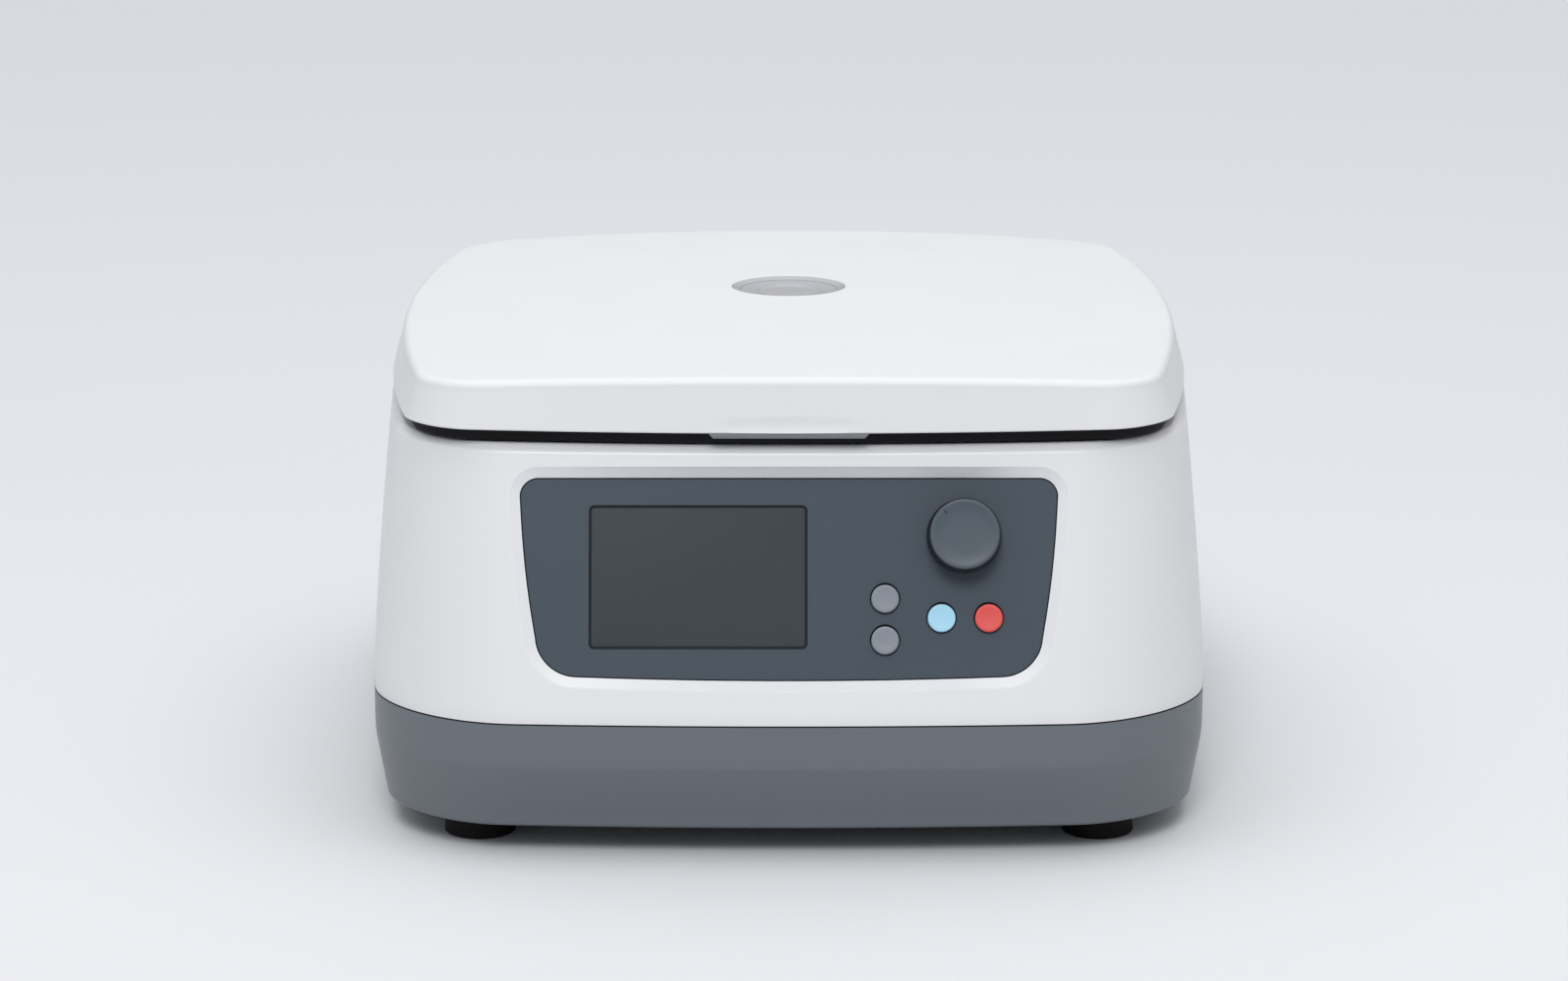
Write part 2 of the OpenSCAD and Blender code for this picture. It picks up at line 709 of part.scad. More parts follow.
module bowl() color(steel) on_rotor_axis() {
    inner = bowl_fillet;
    outer = bowl_fillet + bowl_t;
    low = bowl_floor_z - bowl_t;
    rotate_extrude($fn = 128) polygon(concat(
        [[bowl_r, deck_z + rim_t]],
        [for (i = [0:6]) let (a = -15 * i)
            [bowl_r - inner + inner * cos(a), bowl_floor_z + inner + inner * sin(a)]],
        [[boss_bore + bowl_t, bowl_floor_z], [boss_bore + bowl_t, bowl_floor_z + 6],
         [boss_bore, bowl_floor_z + 6], [boss_bore, low]],
        [for (i = [6:-1:0]) let (a = -15 * i)
            [bowl_r - inner + outer * cos(a), bowl_floor_z + inner + outer * sin(a)]],
        [[bowl_outer, deck_z], [bowl_r + bowl_rim, deck_z], [bowl_r + bowl_rim, deck_z + rim_t]]));
}

module bowl_gasket() color(rubber_black) on_rotor_axis() {
    z = deck_z + rim_t;
    rotate_extrude($fn = 128) polygon([
        [bowl_r + 1.5, z], [gasket_r, z], [gasket_r, z + 2.5], [bowl_r + 5, gasket_top],
        [bowl_r + 3, gasket_top], [bowl_r + 2.6, z + 2.5], [bowl_r + 1.5, z + 2]]);
}

module shaft_boot() color(rubber_black) on_rotor_axis()
    rotate_extrude() polygon([
        [shaft_r + 2, motor_top], [boss_bore + 2, motor_top], [boss_bore + 2, motor_top + 1.5],
        [boss_bore, motor_top + 2.5], [boss_bore, bowl_floor_z + 5], [shaft_r + 2, bowl_floor_z + 5]]);

bearing_w = 7;
bearing_r = 13;

module motor_housing() color([0.20, 0.21, 0.23]) on_rotor_axis() {
    difference() {
        union() {
            translate([0, 0, motor_z + 4]) cylinder(r = motor_r, h = motor_h - 8);
            translate([0, 0, motor_z]) cylinder(r = motor_r + 9, h = 4);
            translate([0, 0, motor_top - 4]) cylinder(r = motor_r - 3, h = 4);
        }
        for (a = [0:15:345])
            rotate([0, 0, a]) block([motor_r - 2.5, -1.5, motor_z + 6], [motor_r + past, 1.5, motor_top - 6]);
        translate([0, 0, motor_z - past]) cylinder(r = shaft_r + 1, h = motor_h + 2 * past);
        for (z = [motor_z - past, motor_top - bearing_w])
            translate([0, 0, z]) cylinder(r = bearing_r, h = bearing_w + past);
        for (a = [0:90:270])
            rotate([0, 0, a]) translate([motor_screw_ring, 0, motor_z - past])
                cylinder(r = screw_r, h = 8);
    }
}

module motor_bearings() color(steel) on_rotor_axis()
    for (z = [motor_z, motor_top - bearing_w])
        tube(bearing_r, shaft_r + run_fit, z, z + bearing_w);

module motor_plate() color(zinc) {
    difference() {
        translate([0, rotor_y, mount_plate_z]) linear_extrude(mount_plate_t) difference() {
            polygon(rounded(mount_plate / 2, mount_plate / 2, 14));
            circle(r = shaft_r + 4);
            for (a = [0:90:270]) rotate(a) translate([motor_screw_ring, 0]) circle(r = screw_r + seat_fit);
        }
        for (p = mount_places)
            translate([p.x, p.y, mount_plate_z - past])
                cylinder(r = screw_r + seat_fit, h = mount_plate_t + 2 * past);
    }
}

module vibration_mounts() color(rubber_black) {
    for (p = mount_places)
        translate([p.x, p.y, chassis_top]) rotate_extrude() polygon([
            [0, -chassis_t], [screw_r, -chassis_t], [screw_r, 0], [rubber_r, 0],
            [rubber_r - 2, rubber_h / 2], [rubber_r, rubber_h], [screw_r, rubber_h],
            [screw_r, rubber_h + mount_plate_t], [0, rubber_h + mount_plate_t]]);
}

// Tray of the power supply, beside the motor's plate
psu_w = 80;
psu_l = 150;
psu_h = 34;
psu_t = 2;
psu_gap = 19;
psu_front = 62;

module power_supply() color([0.55, 0.57, 0.58]) {
    translate([-mount_plate / 2 - psu_gap - psu_w, rotor_y - psu_front, chassis_top]) {
        difference() {
            cube([psu_w, psu_l, psu_h]);
            translate([psu_t, psu_t, psu_t]) cube([psu_w - 2 * psu_t, psu_l - 2 * psu_t, psu_h]);
        }
        block([6, 20, 1.5], [40, 64, 30]);
        for (i = [0:2]) translate([60, 26 + i * 24, 1.5]) cylinder(r = 9, h = 28);
        block([10, 84, 1.5], [34, 136, 24]);
        for (i = [0:5]) block([44, 92 + i * 7, 1.5], [72, 94 + i * 7, 26]);
        block([34, 84, 1.5], [74, 140, 5]);
    }
}

// Rotor and carriers

station_turn = 360 / CARRIERS;
hub_r = 16;
hub_top = disc_z + 18;
lug_y = slide_w / 2 + clip_t + 3.5;
lug_t = 3.5;
rim_h = 14;
window_turn = 30;

module at_station(i) {
    on_rotor_axis() rotate([0, 0, station_turn * (i - 0.5)]) translate([pivot_r, 0, pivot_z]) children();
}

module rotor_head() color([0.55, 0.58, 0.62]) {
    difference() {
        union() {
            on_rotor_axis() {
                translate([0, 0, disc_z]) cylinder(r = disc_r, h = disc_t, $fn = 128);
                tube(disc_r, disc_r - 3, disc_z + disc_t / 2, disc_z + disc_t + rim_h);
                translate([0, 0, disc_z - 2]) cylinder(r = hub_r, h = hub_top - disc_z + 2);
                translate([0, 0, disc_z + 1]) cylinder(r1 = hub_r + 14, r2 = hub_r, h = 12);
            }
            for (i = [1:CARRIERS], s = [-1, 1])
                at_station(i) translate([0, s * (lug_y + lug_t / 2), 0]) {
                    along_y(pivot_pin_r + 3.5, lug_t);
                    block([-pivot_pin_r - 3.5, -lug_t / 2, -pivot_rise - disc_t / 2],
                          [pivot_pin_r + 3.5, lug_t / 2, 0]);
                }
        }
        on_rotor_axis() {
            translate([0, 0, disc_z - 4]) cylinder(r = shaft_r, h = hub_top - disc_z + 8);
            for (i = [1:CARRIERS])
                rotate([0, 0, station_turn * i]) {
                    translate([disc_r - 30, 0, disc_z - past]) cylinder(r = 17, h = disc_t + 2 * past);
                    translate([disc_r - 66, 0, disc_z - past]) cylinder(r = 9, h = disc_t + 2 * past);
                }
        }
        for (i = [1:CARRIERS])
            at_station(i) along_y(pivot_pin_r + run_fit, 2 * (lug_y + lug_t + past));
    }
}

module rotor_shaft() color(steel) on_rotor_axis()
    translate([0, 0, mount_plate_z - 4]) cylinder(r = shaft_r, h = hub_top + 10 - mount_plate_z);

module rotor_nut() color([0.16, 0.17, 0.18]) on_rotor_axis() {
    difference() {
        union() {
            translate([0, 0, hub_top]) cylinder(r = 13, h = 5);
            translate([0, 0, hub_top + 5]) cylinder(r = 10, h = 14);
            for (a = [0:60:300])
                rotate([0, 0, a]) translate([10, 0, hub_top + 5]) cylinder(r = 2.4, h = 13);
        }
        translate([0, 0, hub_top - past]) cylinder(r = shaft_r, h = 6 + past);
    }
}

back_x = 5.5;
shelf_z = -4;
arm_top = port_rise + 6;
side_y = slide_w / 2 + seat_fit;
front_x = -6;
card_gap = 0.05;
card_x = back_x - slide_t - card_gap - card_t;
cup_x = -11;
cup_low = port_rise - port_r - 1.5;

module resting(i) {
    at_station(i) rotate([0, -carrier_lean, 0]) children();
}

module clip(i) color(steel) resting(i) difference() {
    union() {
        block([back_x, -side_y - clip_t, shelf_z - clip_t], [back_x + clip_t, side_y + clip_t, 66]);
        block([front_x, -side_y - clip_t, shelf_z - clip_t], [back_x + clip_t, side_y + clip_t, shelf_z]);
        for (s = [-1, 1]) {
            translate([0, s * (side_y + clip_t / 2), 0])
                block([front_x, -clip_t / 2, shelf_z - clip_t], [back_x + clip_t, clip_t / 2, arm_top]);
            translate([0, s * (side_y + lug_y + lug_t + 0.5) / 2, 0])
                along_y(pivot_pin_r, lug_y + lug_t + 0.5 - side_y);
        }
    }
    translate([back_x - past, 0, port_rise]) rotate([0, 90, 0]) cylinder(r = 8, h = clip_t + 2 * past);
    translate([back_x - past, 0, 52]) rotate([0, 90, 0]) cylinder(r = 6, h = clip_t + 2 * past);
}

module slide(i) resting(i) {
    color([0.80, 0.88, 0.90])
        block([back_x - slide_t, -slide_w / 2, shelf_z], [back_x, slide_w / 2, shelf_z + slide_l]);
    color([0.93, 0.92, 0.88]) difference() {
        block([card_x, -slide_w / 2, shelf_z], [back_x - slide_t - card_gap, slide_w / 2, shelf_z + slide_l - 12]);
        translate([card_x - past, 0, port_rise]) rotate([0, 90, 0]) cylinder(r = port_r + 0.3, h = card_t + past);
    }
}

module chamber(i) color([0.90, 0.91, 0.93]) resting(i) difference() {
    union() {
        block([card_x - 2, -side_y, port_rise - 9], [card_x, side_y, port_rise + 12]);
        block([cup_x, -port_r - 2.5, port_rise - port_r - 2.5], [card_x, port_r + 2.5, port_rise + port_r + 2.5]);
        translate([cup_x, 0, cup_low - cup_wall])
            cylinder(r = cup_r + cup_wall, h = cup_top - cup_low + cup_wall);
        translate([cup_x, 0, cup_top - 2]) cylinder(r = cup_r + cup_wall + 1.2, h = 2);
    }
    translate([cup_x, 0, cup_low]) cylinder(r = cup_r, h = cup_top - cup_low + past);
    translate([cup_x, 0, port_rise]) rotate([0, 90, 0]) cylinder(r = port_r, h = card_x - cup_x + past);
}

// Latch

pawl_x = 8.5;
pawl_z = deck_z - 32;
nose_z = deck_z - 12;
pawl_w = 4;
pawl_pin_r = 2;
pawl_side = 6;
window_low = deck_z - 17;
window_high = deck_z - 8;
latch_half = striker_w / 2 + 5;
striker_low = deck_z - 22;

module latch_body() color([0.25, 0.26, 0.28]) translate([0, -latch_y, 0]) {
    difference() {
        block([-12, -latch_half, deck_z - 40], [16, latch_half, deck_z - wall]);
        block([-5, -latch_half + 2, deck_z - 37], [13, latch_half - 2, deck_z]);
    }
    translate([pawl_x, 0, pawl_z]) along_y(pawl_pin_r, 2 * latch_half - 2);
    block([-12, -latch_half - 6, deck_z - wall - 3], [-5, latch_half + 6, deck_z - wall]);
}

module latch_pawl() color(zinc) translate([0, -latch_y, 0]) difference() {
    union() {
        block([pawl_side, -pawl_w / 2, pawl_z], [pawl_x + 2.5, pawl_w / 2, nose_z + 2]);
        block([striker_t / 2 + free_gap, -pawl_w / 2, nose_z - 2], [pawl_side + 1, pawl_w / 2, nose_z + 2]);
        translate([pawl_x, 0, pawl_z]) along_y(pawl_pin_r + 2, pawl_w);
    }
    translate([pawl_x, 0, pawl_z]) along_y(pawl_pin_r + run_fit, pawl_w + 2 * past);
}

module lid_striker() color(steel) translate([0, -latch_y, 0]) {
    difference() {
        union() {
            block([-striker_t / 2, -striker_w / 2, striker_low], [striker_t / 2, striker_w / 2, liner_z]);
            block([-12, -striker_w / 2 - 2, liner_z - 2], [12, striker_w / 2 + 2, liner_z]);
        }
        block([-striker_t, -pawl_w / 2 - 0.8, window_low], [striker_t, pawl_w / 2 + 0.8, window_high]);
    }
}

// Hinge

lug_w = 8;
arm_t = 3;
// The arms start behind the gasket
arm_front = rotor_y + sqrt(pow(gasket_r + 1, 2) - pow((hinge_gap - arm_w) / 2, 2));
hinge_places = [-hinge_gap / 2, hinge_gap / 2];

module hinge_brackets() color(zinc) {
    for (x = hinge_places) {
        difference() {
            union() {
                for (s = [-1, 1])
                    translate([x + s * (arm_w / 2 + free_gap + lug_w / 2), hinge_y, 0]) {
                        translate([0, 0, hinge_z]) along_x(knuckle_r, lug_w);
                        block([-lug_w / 2, -knuckle_r, deck_z], [lug_w / 2, knuckle_r, hinge_z]);
                    }
            }
            translate([x, hinge_y, hinge_z]) along_x(hinge_pin_r, arm_w + 2 * lug_w + 4);
        }
    }
}

module hinge_pins() color(steel)
    for (x = hinge_places)
        translate([x, hinge_y, hinge_z]) along_x(hinge_pin_r, arm_w + 2 * (lug_w + free_gap) + 1);

module lid_hinge_arms() color(zinc) {
    low = liner_z - arm_t;
    for (x = hinge_places)
        difference() {
            union() {
                translate([x, hinge_y, hinge_z]) along_x(knuckle_r, arm_w);
                block([x - arm_w / 2, arm_front, low], [x + arm_w / 2, hinge_y - 4, liner_z]);
            }
            translate([x, hinge_y, hinge_z]) along_x(hinge_pin_r + run_fit, arm_w + 2 * past);
            for (y = arm_screws)
                translate([x, y, low - past]) cylinder(r = lid_screw_r + seat_fit, h = arm_t + 2 * past);
        }
}

// Lid

lid_screw_r = 1.7;
arm_screws = [hinge_y - 26, arm_front + 4];
lid_boss_places = concat(
    [for (sx = [-1, 1], y = [59 - lid_front, lid_back - 80]) [sx * (lid_w / 2 - 46.5), y]],
    [for (x = hinge_places, y = arm_screws) [x, y]]);
window_r = window_d / 2;
pane_r = window_r - 2.5;
ring_r = window_r - 4;
pane_t = 4;
ring_top = crown_z - 0.4;
pane_top = ring_top - 1.6;
ring_low = pane_top - pane_t - 4;

module lid_shell() color(pale) {
    rim = lid_outline(rim_side_in, rim_end_in);
    top = lid_outline(rim_side_in + rim_r, rim_end_in + rim_r);
    hollow = lid_outline(rim_side_in + lid_wall, rim_end_in + lid_wall);
    difference() {
        union() {
            difference() {
                loft([at_height(lid_outline(0.6, 0.6), lid_z), at_height(lid_outline(0, 0), lid_z + 1),
                      crown_ring(rim, 1, rim_r),
                      crown_ring(lid_outline(rim_side_in + rim_r * 0.3, rim_end_in + rim_r * 0.3), 1, rim_r * 0.3),
                      crown_ring(top, 1, 0), crown_ring(top, 0.75, 0), crown_ring(top, 0.45, 0),
                      crown_ring(top, 0.1, 0)]);
                loft([at_height(lid_outline(lid_wall, lid_wall), lid_z - past),
                      crown_ring(hollow, 1, lid_wall + 3), crown_ring(hollow, 0.97, lid_wall),
                      crown_ring(hollow, 0.6, lid_wall), crown_ring(hollow, 0.1, lid_wall)]);
            }
            for (p = lid_boss_places)
                translate([p.x, p.y, liner_top]) cylinder(r = 4.5, h = crown(p.x, p.y) - 1 - liner_top);
        }
        on_rotor_axis() translate([0, 0, liner_top]) cylinder(r = window_r, h = lid_h);
        for (p = lid_boss_places)
            translate([p.x, p.y, liner_top - past]) cylinder(r = lid_screw_r, h = 9 + past);
        for (x = hinge_places)
            block([x - arm_w / 2 - 1, lid_back - 20, lid_z - past], [x + arm_w / 2 + 1, lid_back + past, liner_z + 1]);
        translate([0, scoop_depth - lid_front - 14, lid_z + 5]) along_x(14, scoop_w);
    }
}

module lid_liner() color([0.80, 0.81, 0.83]) {
    difference() {
        union() {
            translate([0, 0, liner_z]) linear_extrude(liner_t)
                polygon(lid_outline(lid_wall + 0.35 * rim_side_in, lid_wall + 0.35 * rim_end_in));
            on_rotor_axis() translate([0, 0, liner_z]) cylinder(r = window_r, h = ring_low - liner_z);
        }
        on_rotor_axis() translate([0, 0, liner_z - past]) cylinder(r = ring_r, h = ring_low - liner_z + 2 * past);
        for (p = lid_boss_places)
            translate([p.x, p.y, liner_z - past]) cylinder(r = lid_screw_r + seat_fit, h = liner_t + 2 * past);
    }
}

module window_ring() color([0.66, 0.67, 0.69]) on_rotor_axis() {
    outer = window_r - seat_fit;
    rotate_extrude($fn = 96) polygon([
        [ring_r, ring_low], [outer, ring_low], [outer, ring_top - 0.8], [outer - 0.8, ring_top],
        [ring_r + 0.6, ring_top], [ring_r, ring_top - 0.6], [ring_r, pane_top],
        [pane_r, pane_top], [pane_r, pane_top - pane_t], [ring_r, pane_top - pane_t]]);
}

module lid_window() color([0.74, 0.75, 0.77]) on_rotor_axis()
    translate([0, 0, pane_top - pane_t]) cylinder(r = pane_r, h = pane_t, $fn = 96);

grip_t = 2.5;

module lid_grip() color(pale) {
    reach = 2.4;
    low = lid_z - grip_t;
    half = grip_w / 2;
    translate([0, 0, low]) linear_extrude(grip_t)
        polygon([[-half, -lid_front + 1.4], [-half + 4, -lid_front - reach], [half - 4, -lid_front - reach],
                 [half, -lid_front + 1.4], [half, -lid_front + 14], [-half, -lid_front + 14]]);
    block([-half, -lid_front + lid_wall + 1.6, lid_z - past], [half, -lid_front + 14, liner_z]);
}

module lid_screws() color(steel) {
    for (i = [0:len(lid_boss_places) - 1]) {
        p = lid_boss_places[i];
        seat = i < 4 ? liner_z : liner_z - arm_t;
        translate([p.x, p.y, seat - 1.6]) cylinder(r = 3.2, h = 1.6);
        translate([p.x, p.y, seat]) cylinder(r = lid_screw_r, h = liner_top + 8 - seat);
    }
}

// Power inlet and its rocker

flange_t = 2.4;
rocker_pin_r = 1.5;
rocker_y = pad_y - 2;
blade_l = 12;

module power_inlet() color([0.12, 0.12, 0.13]) {
    floor_y = pad_y + flange_t - socket_deep;
    difference() {
        union() {
            block([inlet_x - inlet_w / 2, pad_y, inlet_low], [inlet_x + inlet_w / 2, pad_y + flange_t, inlet_high]);
            block([inlet_x - socket_w / 2 - 2.5, floor_y - 3, inlet_z - socket_h / 2 - 2.5],
                  [inlet_x + socket_w / 2 + 2.5, pad_y + past, rocker_z + rocker_h / 2 + 2.5]);
        }
        block([inlet_x - socket_w / 2, floor_y, inlet_z - socket_h / 2],
              [inlet_x + socket_w / 2, pad_y + flange_t + past, inlet_z + socket_h / 2]);
        block([inlet_x - rocker_w / 2 - free_gap, floor_y, rocker_z - rocker_h / 2 - free_gap],
              [inlet_x + rocker_w / 2 + free_gap, pad_y + flange_t + past, rocker_z + rocker_h / 2 + free_gap]);
        for (s = [-1, 1])
            translate([inlet_x + s * (inlet_w / 2 - 5), pad_y, inlet_z + 12]) along_y(1.7, 12);
    }
    for (p = [[-7, 0], [7, 0], [0, 3]])
        block([inlet_x + p.x - 1, floor_y - past, inlet_z + p.y - 2],
              [inlet_x + p.x + 1, floor_y + blade_l, inlet_z + p.y + 2]);
    translate([inlet_x, rocker_y, rocker_z]) along_x(rocker_pin_r, rocker_w + 2);
}

module power_rocker() color([0.08, 0.08, 0.09]) translate([inlet_x, rocker_y, rocker_z]) difference() {
    half = rocker_h / 2;
    rotate([90, 0, 90]) linear_extrude(rocker_w, center = true) polygon([
        [-4, -2.5], [2.2, 0.6 - half], [6, 0.8 - half], [4.8, 0], [6, half - 0.8], [2.2, half - 0.6], [-4, 2.5]]);
    along_x(rocker_pin_r + run_fit, rocker_w + 2 * past);
}

base_tub();
chassis_plate();
feet();
chassis_screws();
upper_housing();
control_panel();
display_glass();
display_module();
control_board();
board_standoffs();
encoder_body();
bowl();
bowl_gasket();
shaft_boot();
motor_housing();
motor_bearings();
motor_plate();
vibration_mounts();
latch_body();
hinge_brackets();
hinge_pins();
power_inlet();
power_supply();
lid_shell();
lid_liner();
lid_window();
window_ring();
lid_grip();
lid_striker();
lid_hinge_arms();
lid_screws();
rotor_shaft();
rotor_head();
rotor_nut();
knob();
encoder_shaft();
mode_button_upper();
mode_button_lower();
start_button();
stop_button();
latch_pawl();
power_rocker();
for (i = [1:CARRIERS]) {
    clip(i);
    chamber(i);
    slide(i);
}
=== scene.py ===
"""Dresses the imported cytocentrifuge: moulded shells, panel, controls, steel and rubber.

Everything is in metres in the frame of the CAD model: X to the right, Y to the back, Z up.
"""

import logging
import math
from dataclasses import dataclass, field
from enum import Enum
from typing import Callable, Iterable, Optional, Sequence

import bmesh
import bpy
from mathutils import Matrix, Vector


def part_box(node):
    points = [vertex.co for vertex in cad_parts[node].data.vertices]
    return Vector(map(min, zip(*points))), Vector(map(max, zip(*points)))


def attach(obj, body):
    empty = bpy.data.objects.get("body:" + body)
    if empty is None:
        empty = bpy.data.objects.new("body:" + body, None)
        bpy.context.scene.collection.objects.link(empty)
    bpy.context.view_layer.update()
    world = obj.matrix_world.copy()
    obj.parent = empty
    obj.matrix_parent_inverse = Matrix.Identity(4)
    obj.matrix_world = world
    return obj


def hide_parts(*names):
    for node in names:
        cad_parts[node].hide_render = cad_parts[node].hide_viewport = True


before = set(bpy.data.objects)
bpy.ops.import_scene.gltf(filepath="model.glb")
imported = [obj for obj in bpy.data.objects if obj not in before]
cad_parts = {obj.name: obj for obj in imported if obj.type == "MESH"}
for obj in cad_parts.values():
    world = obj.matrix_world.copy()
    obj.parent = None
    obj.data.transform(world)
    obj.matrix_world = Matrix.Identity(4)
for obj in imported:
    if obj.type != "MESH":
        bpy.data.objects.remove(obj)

log = logging.getLogger("cytocentrifuge")
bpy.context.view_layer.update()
MM = 0.001
Ring = list[Vector]
Point = tuple[float, float]
Shape = bmesh.types.BMesh
Edge = bmesh.types.BMEdge
Piece = bpy.types.Object


# Materials


def arithmetic(operation: str, reflected: bool = False) -> Callable[["Signal", "Signal | float"], "Signal"]:
    """Makes the method behind one operator of a signal.

    Args:
        operation: The Math node's operation.
        reflected: Whether the signal is the second operand.

    Returns:
        The method.
    """
    def method(self: "Signal", other: "Signal | float") -> "Signal":
        """Adds one Math node and returns its result."""
        first, second = (other, self) if reflected else (self, other)
        return self.graph.add("ShaderNodeMath", {"operation": operation}, {0: first, 1: second})
    return method


class Signal:
    """A shader socket on which Python arithmetic adds Math nodes."""

    __add__, __radd__ = arithmetic("ADD"), arithmetic("ADD", True)
    __sub__, __rsub__ = arithmetic("SUBTRACT"), arithmetic("SUBTRACT", True)
    __mul__, __rmul__ = arithmetic("MULTIPLY"), arithmetic("MULTIPLY", True)
    __truediv__, __rtruediv__ = arithmetic("DIVIDE"), arithmetic("DIVIDE", True)
    above = arithmetic("GREATER_THAN")

    def __init__(self, graph: "Graph", socket: bpy.types.NodeSocket) -> None:
        """Keeps the graph and the output socket."""
        self.graph = graph
        self.socket = socket

    def part(self, output: int) -> "Signal":
        """Another output of the node that made the signal."""
        return Signal(self.graph, self.socket.node.outputs[output])


class Graph:
    """The nodes of a material or of the world.

    Attributes:
        tree: The node tree.
    """

    def __init__(self, tree: bpy.types.NodeTree) -> None:
        """Keeps the tree."""
        self.tree = tree

    def find(self, kind: str) -> bpy.types.Node:
        """The first node of a type."""
        return next(node for node in self.tree.nodes if node.type == kind)

    def add(self, kind: str, settings: dict, sockets: dict, output: int | str = 0) -> Signal:
        """Adds a node of any type.

        Args:
            kind: The node's type.
            settings: Properties that are set before the sockets.
            sockets: Values or signals for the inputs, by name or index.
            output: The output to return, by name or index.

        Returns:
            The chosen output as a signal.
        """
        made = self.tree.nodes.new(kind)
        for key, value in settings.items():
            setattr(made, key, value)
        for key, value in sockets.items():
            self.feed(made.inputs[key], value)
        return Signal(self, made.outputs[output])

    def feed(self, socket: bpy.types.NodeSocket, value: "Signal | float | Sequence") -> None:
        """Links a signal to a socket, or sets the socket's value.

        Args:
            socket: The input to feed.
            value: A signal, or a plain value.
        """
        if isinstance(value, Signal):
            self.tree.links.new(value.socket, socket)
        else:
            socket.default_value = value

    def set(self, name: str, value: "Signal | float | Sequence") -> None:
        """Feeds one socket of the Principled shader."""
        self.feed(self.find("BSDF_PRINCIPLED").inputs[name], value)

    def place(self, stretch: Sequence[float] = (1.0, 1.0, 1.0)) -> Signal:
        """Object coordinates, stretched along the axes."""
        spot = self.add("ShaderNodeTexCoord", {}, {}, "Object")
        return self.add("ShaderNodeMapping", {}, {"Vector": spot, "Scale": tuple(stretch)})

    def noise(self, scale: float, detail: float = 3.0, stretch: Sequence[float] = (1, 1, 1)) -> Signal:
        """Noise from 0 to 1 on Object coordinates.

        Args:
            scale: Waves in a metre.
            detail: Octaves.
            stretch: Scale along each axis.

        Returns:
            The noise value.
        """
        where = self.place(stretch)
        return self.add("ShaderNodeTexNoise", {}, {"Vector": where, "Scale": scale, "Detail": detail})

    def mix(self, share: Signal, low: "Signal | Sequence", high: "Signal | Sequence") -> Signal:
        """A colour between two colours."""
        return self.add("ShaderNodeMix", {"data_type": "RGBA"}, {0: share, 6: low, 7: high}, 2)

    def bump(self, height: Signal, strength: float, distance: float) -> None:
        """Feeds a bump to the shader's normal."""
        self.set("Normal", self.add(
            "ShaderNodeBump", {}, {"Height": height, "Strength": strength, "Distance": distance}))


def new_material(name: str) -> tuple[bpy.types.Material, Graph]:
    """Makes a material with a Principled shader, and its graph.

    Args:
        name: The material's name.

    Returns:
        The material and the graph of its nodes.
    """
    material = bpy.data.materials.new(name)
    material.use_nodes = True
    return material, Graph(material.node_tree)


def linear(red: int, green: int, blue: int) -> tuple[float, float, float, float]:
    """An sRGB colour of 0 to 255 as linear light.

    Args:
        red: Red of 0 to 255.
        green: Green of 0 to 255.
        blue: Blue of 0 to 255.

    Returns:
        Four linear values, with an alpha of 1.
    """
    def channel(value: int) -> float:
        """One channel."""
        share = value / 255
        return share / 12.92 if share <= 0.04045 else ((share + 0.055) / 1.055) ** 2.4
    return (channel(red), channel(green), channel(blue), 1.0)


def shade(colour: Sequence[float], factor: float) -> tuple[float, ...]:
    """A colour made lighter or darker."""
    return tuple(min(1.0, part * factor) for part in colour[:3]) + (1.0,)


class Surface(Enum):
    """How a surface was made."""

    MOULDED = "fine spark eroded moulding texture"
    GLOSSY = "polished moulding"
    BRUSHED = "metal with straight brushing"
    SPUN = "metal with marks round the Z axis"
    CAST = "metal with a blasted skin"
    RUBBER = "moulded rubber"
    BOARD = "circuit board with fine tracks"


@dataclass(frozen=True)
class Relief:
    """A bump made from noise.

    Attributes:
        scale: Waves in a metre.
        detail: Octaves.
        height: Height of the bump in metres.
        stretch: Scale along each axis.
        rough: How far the lines also change the roughness.
    """

    scale: float
    detail: float
    height: float
    stretch: tuple[float, float, float] = (1.0, 1.0, 1.0)
    rough: float = 0.0


RELIEFS: dict[Surface, Relief] = {
    Surface.GLOSSY: Relief(60.0, 2.0, 0.0001),
    Surface.BRUSHED: Relief(90.0, 6.0, 0.00008, (1.0, 40.0, 40.0), 0.25),
    Surface.SPUN: Relief(1800.0, 4.0, 0.00006, rough=0.2),
    Surface.CAST: Relief(1400.0, 4.0, 0.0001),
    Surface.RUBBER: Relief(900.0, 3.0, 0.00015),
}


